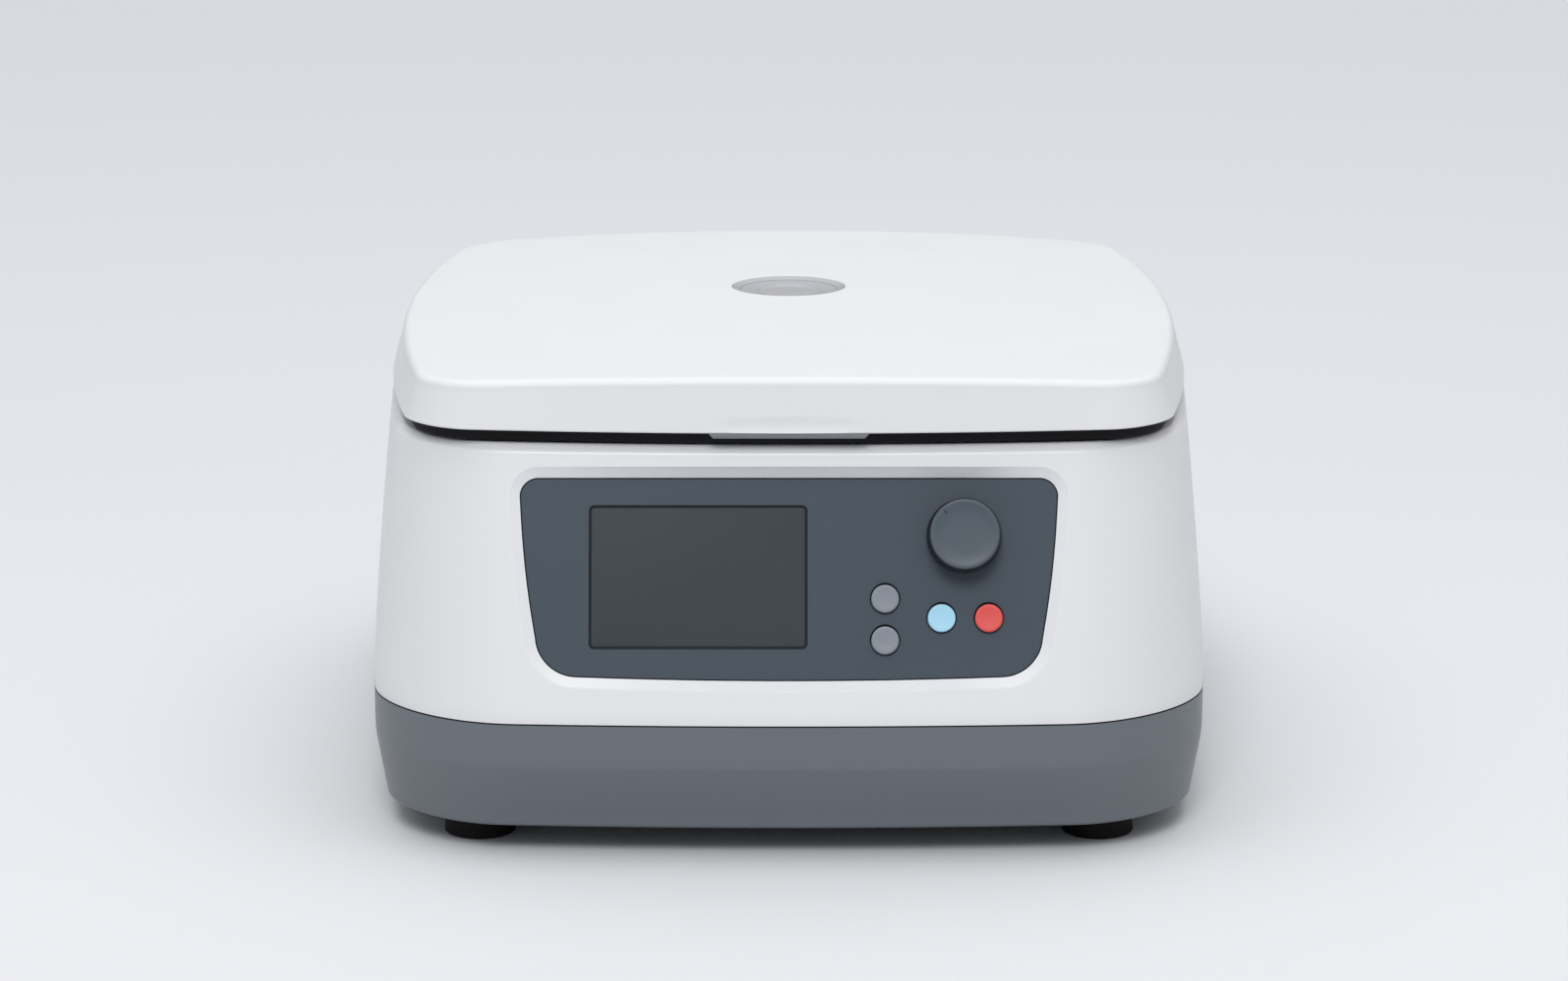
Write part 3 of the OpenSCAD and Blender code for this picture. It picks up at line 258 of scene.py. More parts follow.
@dataclass(frozen=True)
class Finish:
    """A material by its colour and surface.

    Attributes:
        name: The material's name.
        rgb: The sRGB colour of 0 to 255.
        surface: How the surface was made.
        roughness: Mean roughness.
        relief: Strength of the bump.
        coat: Weight of a clear coat.
        specular: Level of the mirror reflection.
        variation: Share by which the colour varies.
    """

    name: str
    rgb: tuple[int, int, int]
    surface: Surface
    roughness: float = 0.4
    relief: float = 0.15
    coat: float = 0.0
    variation: float = 0.02
    specular: float = 0.5

    def material(self) -> bpy.types.Material:
        """The material, made once."""
        found = bpy.data.materials.get(self.name)
        return found if found else self._build()

    def _build(self) -> bpy.types.Material:
        """Makes the nodes.

        Returns:
            The new material.
        """
        material, graph = new_material(self.name)
        colour = linear(*self.rgb)
        drift = graph.noise(9.0, 4.0)
        base = graph.mix(drift, shade(colour, 1 - self.variation), shade(colour, 1 + self.variation))
        graph.set("Metallic", 1.0 if self.surface in (Surface.BRUSHED, Surface.SPUN, Surface.CAST) else 0.0)
        graph.set("Coat Weight", self.coat)
        graph.set("Specular IOR Level", self.specular)
        graph.set("Coat Roughness", 0.15)
        smudge = graph.noise(26.0, 5.0)
        rough = self.roughness + (smudge - 0.5) * 0.12
        relief = RELIEFS.get(self.surface)
        if relief:
            if self.surface is Surface.SPUN:
                lines = self._spun_lines(graph, relief)
            else:
                lines = graph.noise(relief.scale, relief.detail, relief.stretch)
            if relief.rough:
                rough = rough + (lines - 0.5) * relief.rough
            graph.bump(lines, self.relief, relief.height)
        elif self.surface is Surface.MOULDED:
            grain = graph.add("ShaderNodeTexVoronoi", {"feature": "SMOOTH_F1"},
                              {"Vector": graph.place(), "Scale": 1500.0, "Smoothness": 0.6})
            graph.bump(grain + graph.noise(3200.0, 2.0) * 0.5, self.relief, 0.00012)
        elif self.surface is Surface.BOARD:
            base = self._tracks(graph, base, colour)
        graph.set("Base Color", base)
        graph.set("Roughness", rough)
        return material

    @staticmethod
    def _spun_lines(graph: Graph, relief: Relief) -> Signal:
        """Fine rings round the rotor axis.

        Args:
            graph: The material's graph.
            relief: The relief that gives their scale.

        Returns:
            The rings as a value from 0 to 1.
        """
        x = graph.add("ShaderNodeSeparateXYZ", {}, {0: graph.place()})
        y = x.part(1) - ROTOR_AXIS.y
        radius = graph.add("ShaderNodeMath", {"operation": "SQRT"}, {0: x * x + y * y})
        where = graph.add("ShaderNodeCombineXYZ", {}, {0: radius, 1: x.part(2)})
        return graph.add("ShaderNodeTexNoise", {},
                         {"Vector": where, "Scale": relief.scale, "Detail": relief.detail})

    @staticmethod
    def _tracks(graph: Graph, base: Signal, colour: Sequence[float]) -> Signal:
        """Lighter tracks over a board's colour.

        Args:
            graph: The material's graph.
            base: The board's colour.
            colour: The colour that the tracks lighten.

        Returns:
            The board's colour with its tracks.
        """
        cells = graph.add("ShaderNodeTexVoronoi", {"distance": "MANHATTAN", "feature": "DISTANCE_TO_EDGE"},
                          {"Vector": graph.place(), "Scale": 260.0})
        return graph.mix(1 - cells.above(0.05), base, shade(colour, 1.8))


ROTOR_AXIS = Vector((0.0, 0.018, 0.0))
ON_AXIS = Matrix.Translation(ROTOR_AXIS)

HOUSING = Finish("housing_white", (214, 215, 217), Surface.MOULDED, 0.36, 0.06, 0.1, 0.006)
LID = Finish("lid_white", (217, 218, 220), Surface.MOULDED, 0.40, 0.05, 0.0, 0.006, 0.3)
BEZEL = Finish("bezel_white", (219, 220, 223), Surface.MOULDED, 0.36, 0.06, 0.0, 0.006)
BASE = Finish("base_moulding", (97, 104, 110), Surface.MOULDED, 0.38, 0.12, 0.0, 0.02)
PANEL = Finish("panel_blue_grey", (55, 66, 77), Surface.MOULDED, 0.45, 0.06, 0.0, 0.015, 0.4)
SCREEN = Finish("screen_cover", (64, 69, 72), Surface.GLOSSY, 0.65, 0.005, 0.0, 0.02, 0.1)
SCREEN_FRAME = Finish("screen_frame", (26, 29, 34), Surface.GLOSSY, 0.6, 0.02, 0.0, 0.02, 0.15)
KNOB = Finish("knob_moulding", (66, 76, 86), Surface.MOULDED, 0.42, 0.10, 0.0, 0.02)
# Near-black of the knob's side wall is painted shade on the wall that faces down.
KNOB_SIDE_SHADE = Finish("knob_side_painted_shade", (27, 31, 37), Surface.RUBBER, 0.6, 0.1, 0.0, 0.02, 0.3)
KNOB_MARK = Finish("knob_mark", (22, 26, 31), Surface.MOULDED, 0.5, 0.1)
# Near-black for real seams and rings; it also paints the shade in the gap under the lid's edge and in the
# groove between housing and base.
SEAM_AND_GAP_SHADE = Finish("dark_seam_and_gap_shade", (13, 14, 16), Surface.RUBBER, 0.7, 0.02, 0.0, 0.02, 0.2)
GREY_BUTTON = Finish("cap_grey", (124, 131, 139), Surface.GLOSSY, 0.38, 0.01)
BLUE_BUTTON = Finish("cap_blue", (158, 205, 227), Surface.GLOSSY, 0.36, 0.01)
RED_BUTTON = Finish("cap_red", (212, 78, 74), Surface.GLOSSY, 0.36, 0.01)
# The grip's grey is painted shade: a white part lying in the shadow under the lid's edge.
GRIP_SHADE_GREY = Finish("grip_grey_painted_shade", (112, 116, 119), Surface.MOULDED, 0.5, 0.1)
WINDOW = Finish("window_smoke", (168, 169, 173), Surface.GLOSSY, 0.16, 0.01, 0.2)
WINDOW_RING = Finish("window_ring_grey", (166, 167, 171), Surface.GLOSSY, 0.25, 0.01, 0.2)
RUBBER = Finish("rubber_black", (16, 17, 18), Surface.RUBBER, 0.7, 0.3, 0.0, 0.05, 0.2)
STEEL = Finish("steel_spun", (196, 198, 202), Surface.SPUN, 0.28, 0.15)
STEEL_SHEET = Finish("steel_brushed", (190, 192, 197), Surface.BRUSHED, 0.32, 0.15)
ZINC = Finish("zinc_plate", (168, 172, 178), Surface.CAST, 0.45, 0.15)
ROTOR_ALLOY = Finish("rotor_anodised", (150, 157, 166), Surface.CAST, 0.36, 0.1)
BLACK = Finish("black_moulding", (30, 31, 34), Surface.MOULDED, 0.5, 0.2)
LINER = Finish("liner_grey", (205, 207, 211), Surface.MOULDED, 0.5, 0.15)
BOARD = Finish("board_green", (32, 92, 62), Surface.BOARD, 0.45, 0.1)
CHAMBER = Finish("chamber_natural", (232, 234, 238), Surface.GLOSSY, 0.3, 0.02, 0.2)
SLIDE = Finish("slide_glass", (206, 220, 224), Surface.GLOSSY, 0.1, 0.0, 0.5)

NODE_FINISH: dict[str, Finish] = {
    "chassis_plate": ZINC, "chassis_screws": STEEL_SHEET, "control_panel": PANEL, "display_glass": SCREEN,
    "display_module": BLACK, "control_board": BOARD, "board_standoffs": STEEL_SHEET, "encoder_body": BLACK,
    "bowl_gasket": RUBBER, "shaft_boot": RUBBER, "motor_housing": BLACK, "motor_bearings": STEEL,
    "motor_plate": ZINC, "vibration_mounts": RUBBER, "latch_body": BLACK, "hinge_brackets": ZINC,
    "hinge_pins": STEEL_SHEET, "power_inlet": BLACK, "power_supply": ZINC, "lid_liner": LINER,
    "lid_striker": STEEL_SHEET, "lid_hinge_arms": ZINC, "lid_screws": STEEL_SHEET, "rotor_shaft": STEEL,
    "rotor_head": ROTOR_ALLOY, "rotor_nut": BLACK, "encoder_shaft": STEEL, "latch_pawl": ZINC,
    "power_rocker": BLACK, "lid_window": WINDOW, "window_ring": WINDOW_RING, "lid_grip": LID,
}
CARRIER_FINISH: dict[str, Finish] = {"clip": STEEL_SHEET, "chamber": CHAMBER, "slide": SLIDE}


# Shapes


def mesh_of(name: str, bm: Shape) -> bpy.types.Mesh:
    """Turns a bmesh into a mesh and frees it.

    Args:
        name: The mesh's name.
        bm: The bmesh, which can't be used afterwards.

    Returns:
        The new mesh.
    """
    mesh = bpy.data.meshes.new(name)
    bm.to_mesh(mesh)
    bm.free()
    return mesh


def linked(name: str, data: bpy.types.ID) -> Piece:
    """Makes an object of a mesh, a lamp or a camera and links it to the scene.

    Args:
        name: The object's name.
        data: Its mesh, lamp or camera.

    Returns:
        The new object.
    """
    made = bpy.data.objects.new(name, data)
    bpy.context.scene.collection.objects.link(made)
    return made


def smooth_object(name: str, bm: Shape, finish: Finish, body: str, replaces: Iterable[str] = (),
                  sharp: float = 32.0) -> Piece:
    """Turns a bmesh into a finished piece on a body.

    Args:
        name: The piece's name.
        bm: The mesh, in place in the frame.
        finish: Its finish.
        body: The CAD body that it rides on.
        replaces: The CAD nodes that it stands for.
        sharp: Angle in degrees past which an edge stays sharp.

    Returns:
        The new object.
    """
    bmesh.ops.remove_doubles(bm, verts=bm.verts, dist=1e-6)
    bmesh.ops.recalc_face_normals(bm, faces=bm.faces)
    mesh = mesh_of(name, bm)
    mesh.shade_smooth()
    mesh.set_sharp_from_angle(angle=math.radians(sharp))
    mesh.materials.append(finish.material())
    piece = linked(name, mesh)
    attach(piece, body)
    if replaces:
        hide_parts(*replaces)
    log.info("%s: %d faces on %s", name, len(mesh.polygons), body)
    return piece


def first_ring(bm: Shape, ring: Ring) -> list[Edge]:
    """Starts a skin with a closed loop of edges.

    Args:
        bm: The mesh.
        ring: The loop's points.

    Returns:
        The loop's edges.
    """
    order = bm.verts.layers.int.new("order")
    verts = [bm.verts.new(point) for point in ring]
    for index, vert in enumerate(verts):
        vert[order] = index
    return [bm.edges.new((verts[i - 1], verts[i])) for i in range(len(verts))]


def next_ring(bm: Shape, edges: list[Edge], ring: Ring) -> list[Edge]:
    """Extrudes the last loop and puts the new loop's points in place.

    Args:
        bm: The mesh.
        edges: The last loop's edges.
        ring: The new loop's points, in the same order.

    Returns:
        The new loop's edges.
    """
    order = bm.verts.layers.int["order"]
    made = bmesh.ops.extrude_edge_only(bm, edges=edges)["geom"]
    fresh = {part for part in made if isinstance(part, bmesh.types.BMVert)}
    for vert in fresh:
        vert.co = ring[vert[order]]
    return [part for part in made if isinstance(part, Edge) and set(part.verts) <= fresh]


def skin(rings: Sequence[Ring], closed: bool = False, caps: bool = False) -> Shape:
    """A skin through rings of points.

    Args:
        rings: The rings, all with the same count.
        closed: Whether the last ring joins the first.
        caps: Whether both ends are filled.

    Returns:
        The new mesh.
    """
    bm = bmesh.new()
    start = first_ring(bm, rings[0])
    edges = start
    for ring in rings[1:]:
        edges = next_ring(bm, edges, ring)
    if closed:
        bmesh.ops.bridge_loops(bm, edges=start + edges)
    if caps:
        bmesh.ops.edgeloop_fill(bm, edges=start)
        bmesh.ops.edgeloop_fill(bm, edges=edges)
    return bm


def turned(profile: Sequence[Point], place: Matrix, steps: int = 96) -> Shape:
    """A solid of revolution.

    Args:
        profile: Points of radius and height, which start and end on the axis or meet.
        place: Where the turned shape goes.
        steps: Segments round the axis.

    Returns:
        The new mesh.
    """
    bm = bmesh.new()
    verts = [bm.verts.new((radius, 0.0, height)) for radius, height in profile]
    edges = [bm.edges.new(pair) for pair in zip(verts, verts[1:])]
    bmesh.ops.spin(bm, geom=verts + edges, axis=(0, 0, 1), cent=(0, 0, 0), angle=math.tau,
                   steps=steps, use_merge=True)
    bmesh.ops.remove_doubles(bm, verts=bm.verts, dist=1e-7)
    bmesh.ops.transform(bm, matrix=place, verts=bm.verts)
    return bm


def fillet(centre: Point, radius: float, start: float, end: float, steps: int = 6) -> list[Point]:
    """Points along an arc of a profile.

    Args:
        centre: The arc's centre.
        radius: Its radius.
        start: First angle in degrees.
        end: Last angle in degrees.
        steps: Segments.

    Returns:
        The points.
    """
    angles = (math.radians(start + (end - start) * i / steps) for i in range(steps + 1))
    return [(centre[0] + radius * math.cos(a), centre[1] + radius * math.sin(a)) for a in angles]


def inside(radius: float, height: float, *places: Point) -> list[Point]:
    """Points of a profile from how far they lie inside a radius and over a height, in millimetres."""
    return [(radius - inset * MM, height + rise * MM) for inset, rise in places]


def bend(start: Point, knee: Point, end: Point, steps: int = 6) -> list[Point]:
    """Points along a curve that leaves one point and reaches another by way of a knee.

    Args:
        start: First point.
        knee: The point that pulls the curve.
        end: Last point.
        steps: Segments.

    Returns:
        The points.
    """
    a, b, c = Vector(start), Vector(knee), Vector(end)
    shares = (k / steps for k in range(steps + 1))
    return [tuple(a.lerp(b, t).lerp(b.lerp(c, t), t)) for t in shares]


def cut(piece: Piece, cutters: Sequence[Shape], sharp: float = 32.0) -> None:
    """Cuts shapes out of a piece and applies the cuts.

    Args:
        piece: The piece.
        cutters: The shapes to cut away.
        sharp: Angle in degrees past which an edge stays sharp.
    """
    tools = []
    for bm in cutters:
        bmesh.ops.recalc_face_normals(bm, faces=bm.faces)
        tool = linked("cutter", mesh_of("cutter", bm))
        modifier = piece.modifiers.new("cut", "BOOLEAN")
        modifier.operation = "DIFFERENCE"
        modifier.solver = "EXACT"
        modifier.object = tool
        tools.append(tool)
    bpy.context.view_layer.update()
    shaped = bpy.data.meshes.new_from_object(piece.evaluated_get(bpy.context.evaluated_depsgraph_get()))
    piece.modifiers.clear()
    materials = list(piece.data.materials)
    piece.data = shaped
    shaped.materials.clear()
    for material in materials:
        shaped.materials.append(material)
    shaped.set_sharp_from_angle(angle=math.radians(sharp))
    for tool in tools:
        bpy.data.objects.remove(tool)


def round_edges(bm: Shape, edges: Sequence[Edge], radius: float, steps: int) -> None:
    """Rounds edges to a radius."""
    bmesh.ops.bevel(bm, geom=list(edges), offset=radius, offset_type="OFFSET", affect="EDGES",
                    segments=steps, profile=0.5, material=-1)


def brick(low: Sequence[float], high: Sequence[float], edge: float = 0.0) -> Shape:
    """A block between two corners, with bevelled edges if asked.

    Args:
        low: Lowest corner.
        high: Highest corner.
        edge: Radius of the edges.

    Returns:
        The new mesh.
    """
    bm = bmesh.new()
    bmesh.ops.create_cube(bm, size=1.0)
    size = Vector(high) - Vector(low)
    bmesh.ops.scale(bm, vec=size, verts=bm.verts)
    bmesh.ops.translate(bm, vec=(Vector(high) + Vector(low)) / 2, verts=bm.verts)
    if edge > 0:
        round_edges(bm, bm.edges, edge, 3)
    return bm


# Outlines


@dataclass
class Outline:
    """A rounded rectangle with bowed sides, in metres.

    Attributes:
        half_w: Largest half width.
        front: Y of the front.
        back: Y of the back.
        corner: Corner radius.
        bow_x: How far each side bows out.
        bow_y: How far the front and the back bow out.
        corner_steps: Segments of a corner.
        edge_steps: Points between two corners.
    """

    half_w: float
    front: float
    back: float
    corner: float
    bow_x: float
    bow_y: float
    corner_steps: int = 26
    edge_steps: int = 26

    def inset(self, x: float, y: Optional[float] = None) -> "Outline":
        """The outline drawn in by x at the sides and by y at the ends.

        Args:
            x: How far the sides draw in.
            y: How far the ends draw in, or as far as the sides if left out.

        Returns:
            The new outline.
        """
        y = x if y is None else y
        return Outline(self.half_w - x, self.front + y, self.back - y, self.corner - min(x, y),
                       self.bow_x, self.bow_y)

    def points(self) -> list[Vector]:
        """The outline's points at a height of zero, anticlockwise from the front right.

        Returns:
            The points, evenly spaced along each corner and each side.
        """
        w = self.half_w - self.bow_x
        middle = (self.front + self.back) / 2
        d = (self.back - self.front) / 2 - self.bow_y
        corners = [(w - self.corner, self.corner - d, -90), (w - self.corner, d - self.corner, 0),
                   (self.corner - w, d - self.corner, 90), (self.corner - w, self.corner - d, 180)]
        flat: list[Point] = []
        for index, (x, y, start) in enumerate(corners):
            flat += fillet((x, y), self.corner, start, start + 90, self.corner_steps)
            after = corners[(index + 1) % 4]
            ahead = fillet((after[0], after[1]), self.corner, after[2], after[2] + 1, 1)[0]
            last = flat[-1]
            flat += [(last[0] + (ahead[0] - last[0]) * k / (self.edge_steps + 1),
                      last[1] + (ahead[1] - last[1]) * k / (self.edge_steps + 1))
                     for k in range(1, self.edge_steps + 1)]
        return [Vector((x * (1 + self.bow_x / w * (1 - (y / d) ** 2)),
                        middle + y * (1 + self.bow_y / d * (1 - (x / w) ** 2)), 0.0)) for x, y in flat]

    def ring(self, height: "float | Callable[[Vector], float]") -> Ring:
        """The outline at one height, or at a height that depends on the place.

        Args:
            height: One height, or a function that gives it from the place.

        Returns:
            The ring.
        """
        points = self.points()
        for point in points:
            point.z = height(point) if callable(height) else height
        return points


def circle_ring(like: Ring, centre: Vector, radius: float, height: float) -> Ring:
    """A circle whose points lie in the same directions as another ring's.

    Args:
        like: The ring that gives the directions.
        centre: The circle's centre.
        radius: Its radius.
        height: Its height.

    Returns:
        The circle's points.
    """
    made = []
    for point in like:
        way = Vector((point.x - centre.x, point.y - centre.y, 0.0)).normalized()
        made.append(Vector((centre.x, centre.y, height)) + way * radius)
    return made


def between_rings(low: Ring, high: Ring, share: float) -> Ring:
    """The ring a share of the way from one ring to another."""
    return [a.lerp(b, share) for a, b in zip(low, high)]


# Body


@dataclass
class Body:
    """The housing and the base, from the boxes of their CAD nodes.

    Attributes:
        lean: Lean of the front face in degrees.
        back_lean: Lean of the back face in degrees.
        corner: Corner radius at the seam.
        deck_corner: Corner radius at the deck.
        bow_x: How far each side bows out.
        bow_y: How far the front and the back bow out.
        draft: How far each side draws in from the seam to the deck.
        shoulder: Size of the shoulder.
        wall: Wall thickness.
        bowl_opening: Radius of the opening for the bowl.
        crease: Height of the base's crease.
        base_front_in: How far the base draws in at the front.
        base_side_in: How far the base draws in at the sides and back.
        lip: Chamfer of the edges.
        vent_count: Number of slots in the back.
        foot_r: Radius of a foot.
        low: Lowest corner of the housing's box.
        high: Highest corner of the housing's box.
    """

    lean: float = 17.0
    back_lean: float = 3.0
    corner: float = 62 * MM
    deck_corner: float = 48 * MM
    bow_x: float = 15.7 * MM
    bow_y: float = 9 * MM
    draft: float = 9 * MM
    shoulder: float = 4.2 * MM
    wall: float = 3 * MM
    bowl_opening: float = 152.1 * MM
    crease: float = 46 * MM
    base_front_in: float = 12.6 * MM
    base_side_in: float = 4.5 * MM
    lip: float = 0.6 * MM
    vent_count: int = 11
    foot_r: float = 17 * MM
    low: Vector = field(default_factory=lambda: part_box("upper_housing")[0])
    high: Vector = field(default_factory=lambda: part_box("upper_housing")[1])

    def rise(self, z: float) -> float:
        """Share of the way from the seam to the deck."""
        return max(0.0, z - self.low.z) / (self.high.z - self.low.z)

    def front_y(self, z: float) -> float:
        """Y of the front face at the middle."""
        return self.low.y + (z - self.low.z) * math.tan(math.radians(self.lean))

    def outline(self, z: float) -> Outline:
        """The housing's outline at a height.

        Args:
            z: The height.

        Returns:
            The outline.
        """
        share = self.rise(z)
        return Outline(self.high.x - self.draft * share ** 1.3, self.front_y(z),
                       self.high.y - (z - self.low.z) * math.tan(math.radians(self.back_lean)),
                       self.corner + (self.deck_corner - self.corner) * share, self.bow_x, self.bow_y)

    def base_outline(self, z: float, bottom: float) -> Outline:
        """The base's outline at a height, drawn in under the crease.

        Args:
            z: The height.
            bottom: Height of the base's lower edge.

        Returns:
            The outline.
        """
        share = 1 - min(1.0, max(0.0, (z - bottom) / (self.crease - bottom)))
        side = self.base_side_in * share
        return Outline(self.high.x - side, self.low.y + self.base_front_in * share, self.high.y - side,
                       self.corner - 10 * MM * share, self.bow_x, self.bow_y)

    def build_housing(self, panel: "Panel") -> Piece:
        """Makes the housing's shell and cuts its openings.

        Args:
            panel: The panel whose recess is cut.

        Returns:
            The housing.
        """
        seam, deck = self.low.z, self.high.z
        turn = deck - self.shoulder
        rings = [self.outline(seam).inset(self.lip).ring(seam),
                 self.outline(seam).inset(self.lip * 0.3).ring(seam + self.lip * 0.3)]
        walls = 22
        for k in range(walls + 1):
            z = seam + self.lip + (turn - seam - self.lip) * k / walls
            rings.append(self.outline(z).ring(z))
        chamfer = bend((0, 0), (0, 0.22), (0.18, 0.40)) + bend((0.60, 0.82), (0.78, 1.0), (1.0, 1.0))
        for inset, climb in chamfer[1:]:
            z = turn + self.shoulder * climb
            rings.append(self.outline(z).inset(self.shoulder * inset).ring(z))
        rim = rings[-1]
        opening = circle_ring(rim, ROTOR_AXIS, self.bowl_opening + self.lip, deck)
        rings += [between_rings(rim, opening, share) for share in (0.25, 0.5, 0.75, 1.0)]
        rings.append(circle_ring(rim, ROTOR_AXIS, self.bowl_opening, deck - self.lip))
        rings.append(circle_ring(rim, ROTOR_AXIS, self.bowl_opening, deck - self.wall))
        inner_top = self.outline(deck - self.wall).inset(self.wall + 4 * MM).ring(deck - self.wall)
        rings += [between_rings(rings[-1], inner_top, share) for share in (0.5, 1.0)]
        rings.append(self.outline(turn).inset(self.wall).ring(turn))
        for k in (3, 2, 1, 0):
            z = seam + (turn - seam) * k / 4
            rings.append(self.outline(z).inset(self.wall).ring(z))
        piece = smooth_object("housing_shell", skin(rings, closed=True), HOUSING, "base",
                              ("upper_housing",))
        cut(piece, [panel.recess_cutter(), self.latch_slot(), *self.inlet_cutters(), *self.vents()])
        return piece

    def latch_slot(self) -> Shape:
        """The slot that the striker drops through.

        Returns:
            The cutter.
        """
        low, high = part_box("lid_striker")
        middle = (low.y + high.y) / 2
        reach = Vector((6 * MM, 8 * MM, 0))
        return brick((-reach.x, middle - reach.y, self.high.z - 2 * self.wall),
                     (reach.x, middle + reach.y, self.high.z + self.wall), 0.8 * MM)

    def inlet_cutters(self) -> list[Shape]:
        """The recess round the inlet's flange and the hole behind it.

        Returns:
            The two cutters.
        """
        low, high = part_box("power_inlet")
        rim = 3 * MM
        pad = high.y - 2.4 * MM
        recess = brick((low.x - rim, pad, low.z - rim), (high.x + rim, self.high.y + rim, high.z + rim))
        hole = brick((low.x + 9 * MM, low.y - rim, low.z + 6 * MM),
                     (high.x - 9 * MM, pad + MM, high.z - 5 * MM))
        return [recess, hole]

    def vents(self) -> list[Shape]:
        """The slots in the back.

        Returns:
            One cutter for each slot.
        """
        made = []
        half, foot, head, middle, pitch = 1.5 * MM, 96 * MM, 140 * MM, -70 * MM, 8 * MM
        for i in range(self.vent_count):
            x = middle + (i - self.vent_count // 2) * pitch
            slot = brick((x - half, self.high.y - 24 * MM, foot), (x + half, self.high.y + MM, head))
            ends = [e for e in slot.edges if abs((e.verts[0].co - e.verts[1].co).y) > 10 * MM]
            round_edges(slot, ends, 1.45 * MM, 5)
            made.append(slot)
        return made

    def build_base(self) -> Piece:
        """Makes the base tub with its crease.

        Returns:
            The base.
        """
        low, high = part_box("base_tub")
        edge, steps = 2.5 * MM, 6
        rings = []
        for k in range(steps + 1):
            a = math.radians(90 * k / steps)
            z = low.z + edge * (1 - math.cos(a))
            rings.append(self.base_outline(low.z + edge, low.z).inset(edge * (1 - math.sin(a))).ring(z))
        soft = 2.2 * MM
        for z in (low.z + 9 * MM, low.z + 20 * MM, self.crease - soft):
            rings.append(self.base_outline(z, low.z).ring(z))
        for k, inset in ((-1, 0.10 * MM), (0, 0.16 * MM), (1, 0.06 * MM)):
            z = self.crease + k * soft / 2
            rings.append(self.base_outline(z, low.z).inset(inset).ring(z))
        for z in (self.crease + 2 * soft, high.z - 8 * MM, high.z - self.lip):
            rings.append(self.base_outline(z, low.z).ring(z))
        top = self.base_outline(high.z, low.z)
        rings += [top.inset(self.lip).ring(high.z), top.inset(self.wall).ring(high.z)]
        for z in (self.crease, low.z + self.wall):
            rings.append(self.base_outline(z, low.z).inset(self.wall).ring(z))
        piece = smooth_object("base_shell", skin(rings, caps=True), BASE, "base", ("base_tub",))
        cut(piece, self.air_slots(low.z))
        self.build_joint()
        return piece

    def air_slots(self, bottom: float) -> list[Shape]:
        """The two rows of slots in the base's floor.

        Args:
            bottom: Height of the base's lower face.

        Returns:
            One cutter for each slot.
        """
        out, half_l, half_w, pitch = 110 * MM, 16 * MM, 2 * MM, 9 * MM
        made = []
        for x in (-out, out):
            for i in range(-4, 5):
                y = ROTOR_AXIS.y + i * pitch
                made.append(brick((x - half_l, y - half_w, bottom - MM),
                                  (x + half_l, y + half_w, bottom + self.wall + MM)))
        return made

    def build_joint(self) -> Piece:
        """Makes the black ring deep in the groove where the housing meets the base, a thin dark line that
        paints the groove's shade.

        Returns:
            The line.
        """
        seam, half = self.outline(self.low.z), 0.3 * MM
        places = ((1.0 * MM, -half), (0.05 * MM, -half), (0.05 * MM, half), (1.0 * MM, half))
        rings = [seam.inset(inset).ring(self.low.z + rise) for inset, rise in places]
        # The ring's black is painted shade inside the groove between housing and base.
        return smooth_object("housing_joint_shade", skin(rings), SEAM_AND_GAP_SHADE, "base", (), 50)

    def build_feet(self) -> Piece:
        """Makes the four rubber feet.

        Returns:
            The feet.
        """
        low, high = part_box("feet")
        radius, edge, bore = self.foot_r, 1.6 * MM, 2.2 * MM
        height = high.z - low.z
        profile = ([(bore, height), (radius - MM, height)]
                   + fillet((radius - edge, edge), edge, 0, -90)
                   + [(radius - 5 * MM, 0.0), (radius - 6 * MM, 0.6 * MM), (4 * MM, 0.6 * MM),
                      (4 * MM, 7 * MM), (bore, 7 * MM), (bore, height)])
        bm = bmesh.new()
        for x in (low.x + radius, high.x - radius):
            for y in (low.y + radius, high.y - radius):
                foot = mesh_of("foot", turned(profile, Matrix.Translation((x, y, low.z)), 64))
                bm.from_mesh(foot)
                bpy.data.meshes.remove(foot)
        return smooth_object("rubber_feet", bm, RUBBER, "base", ("feet",))


# Panel


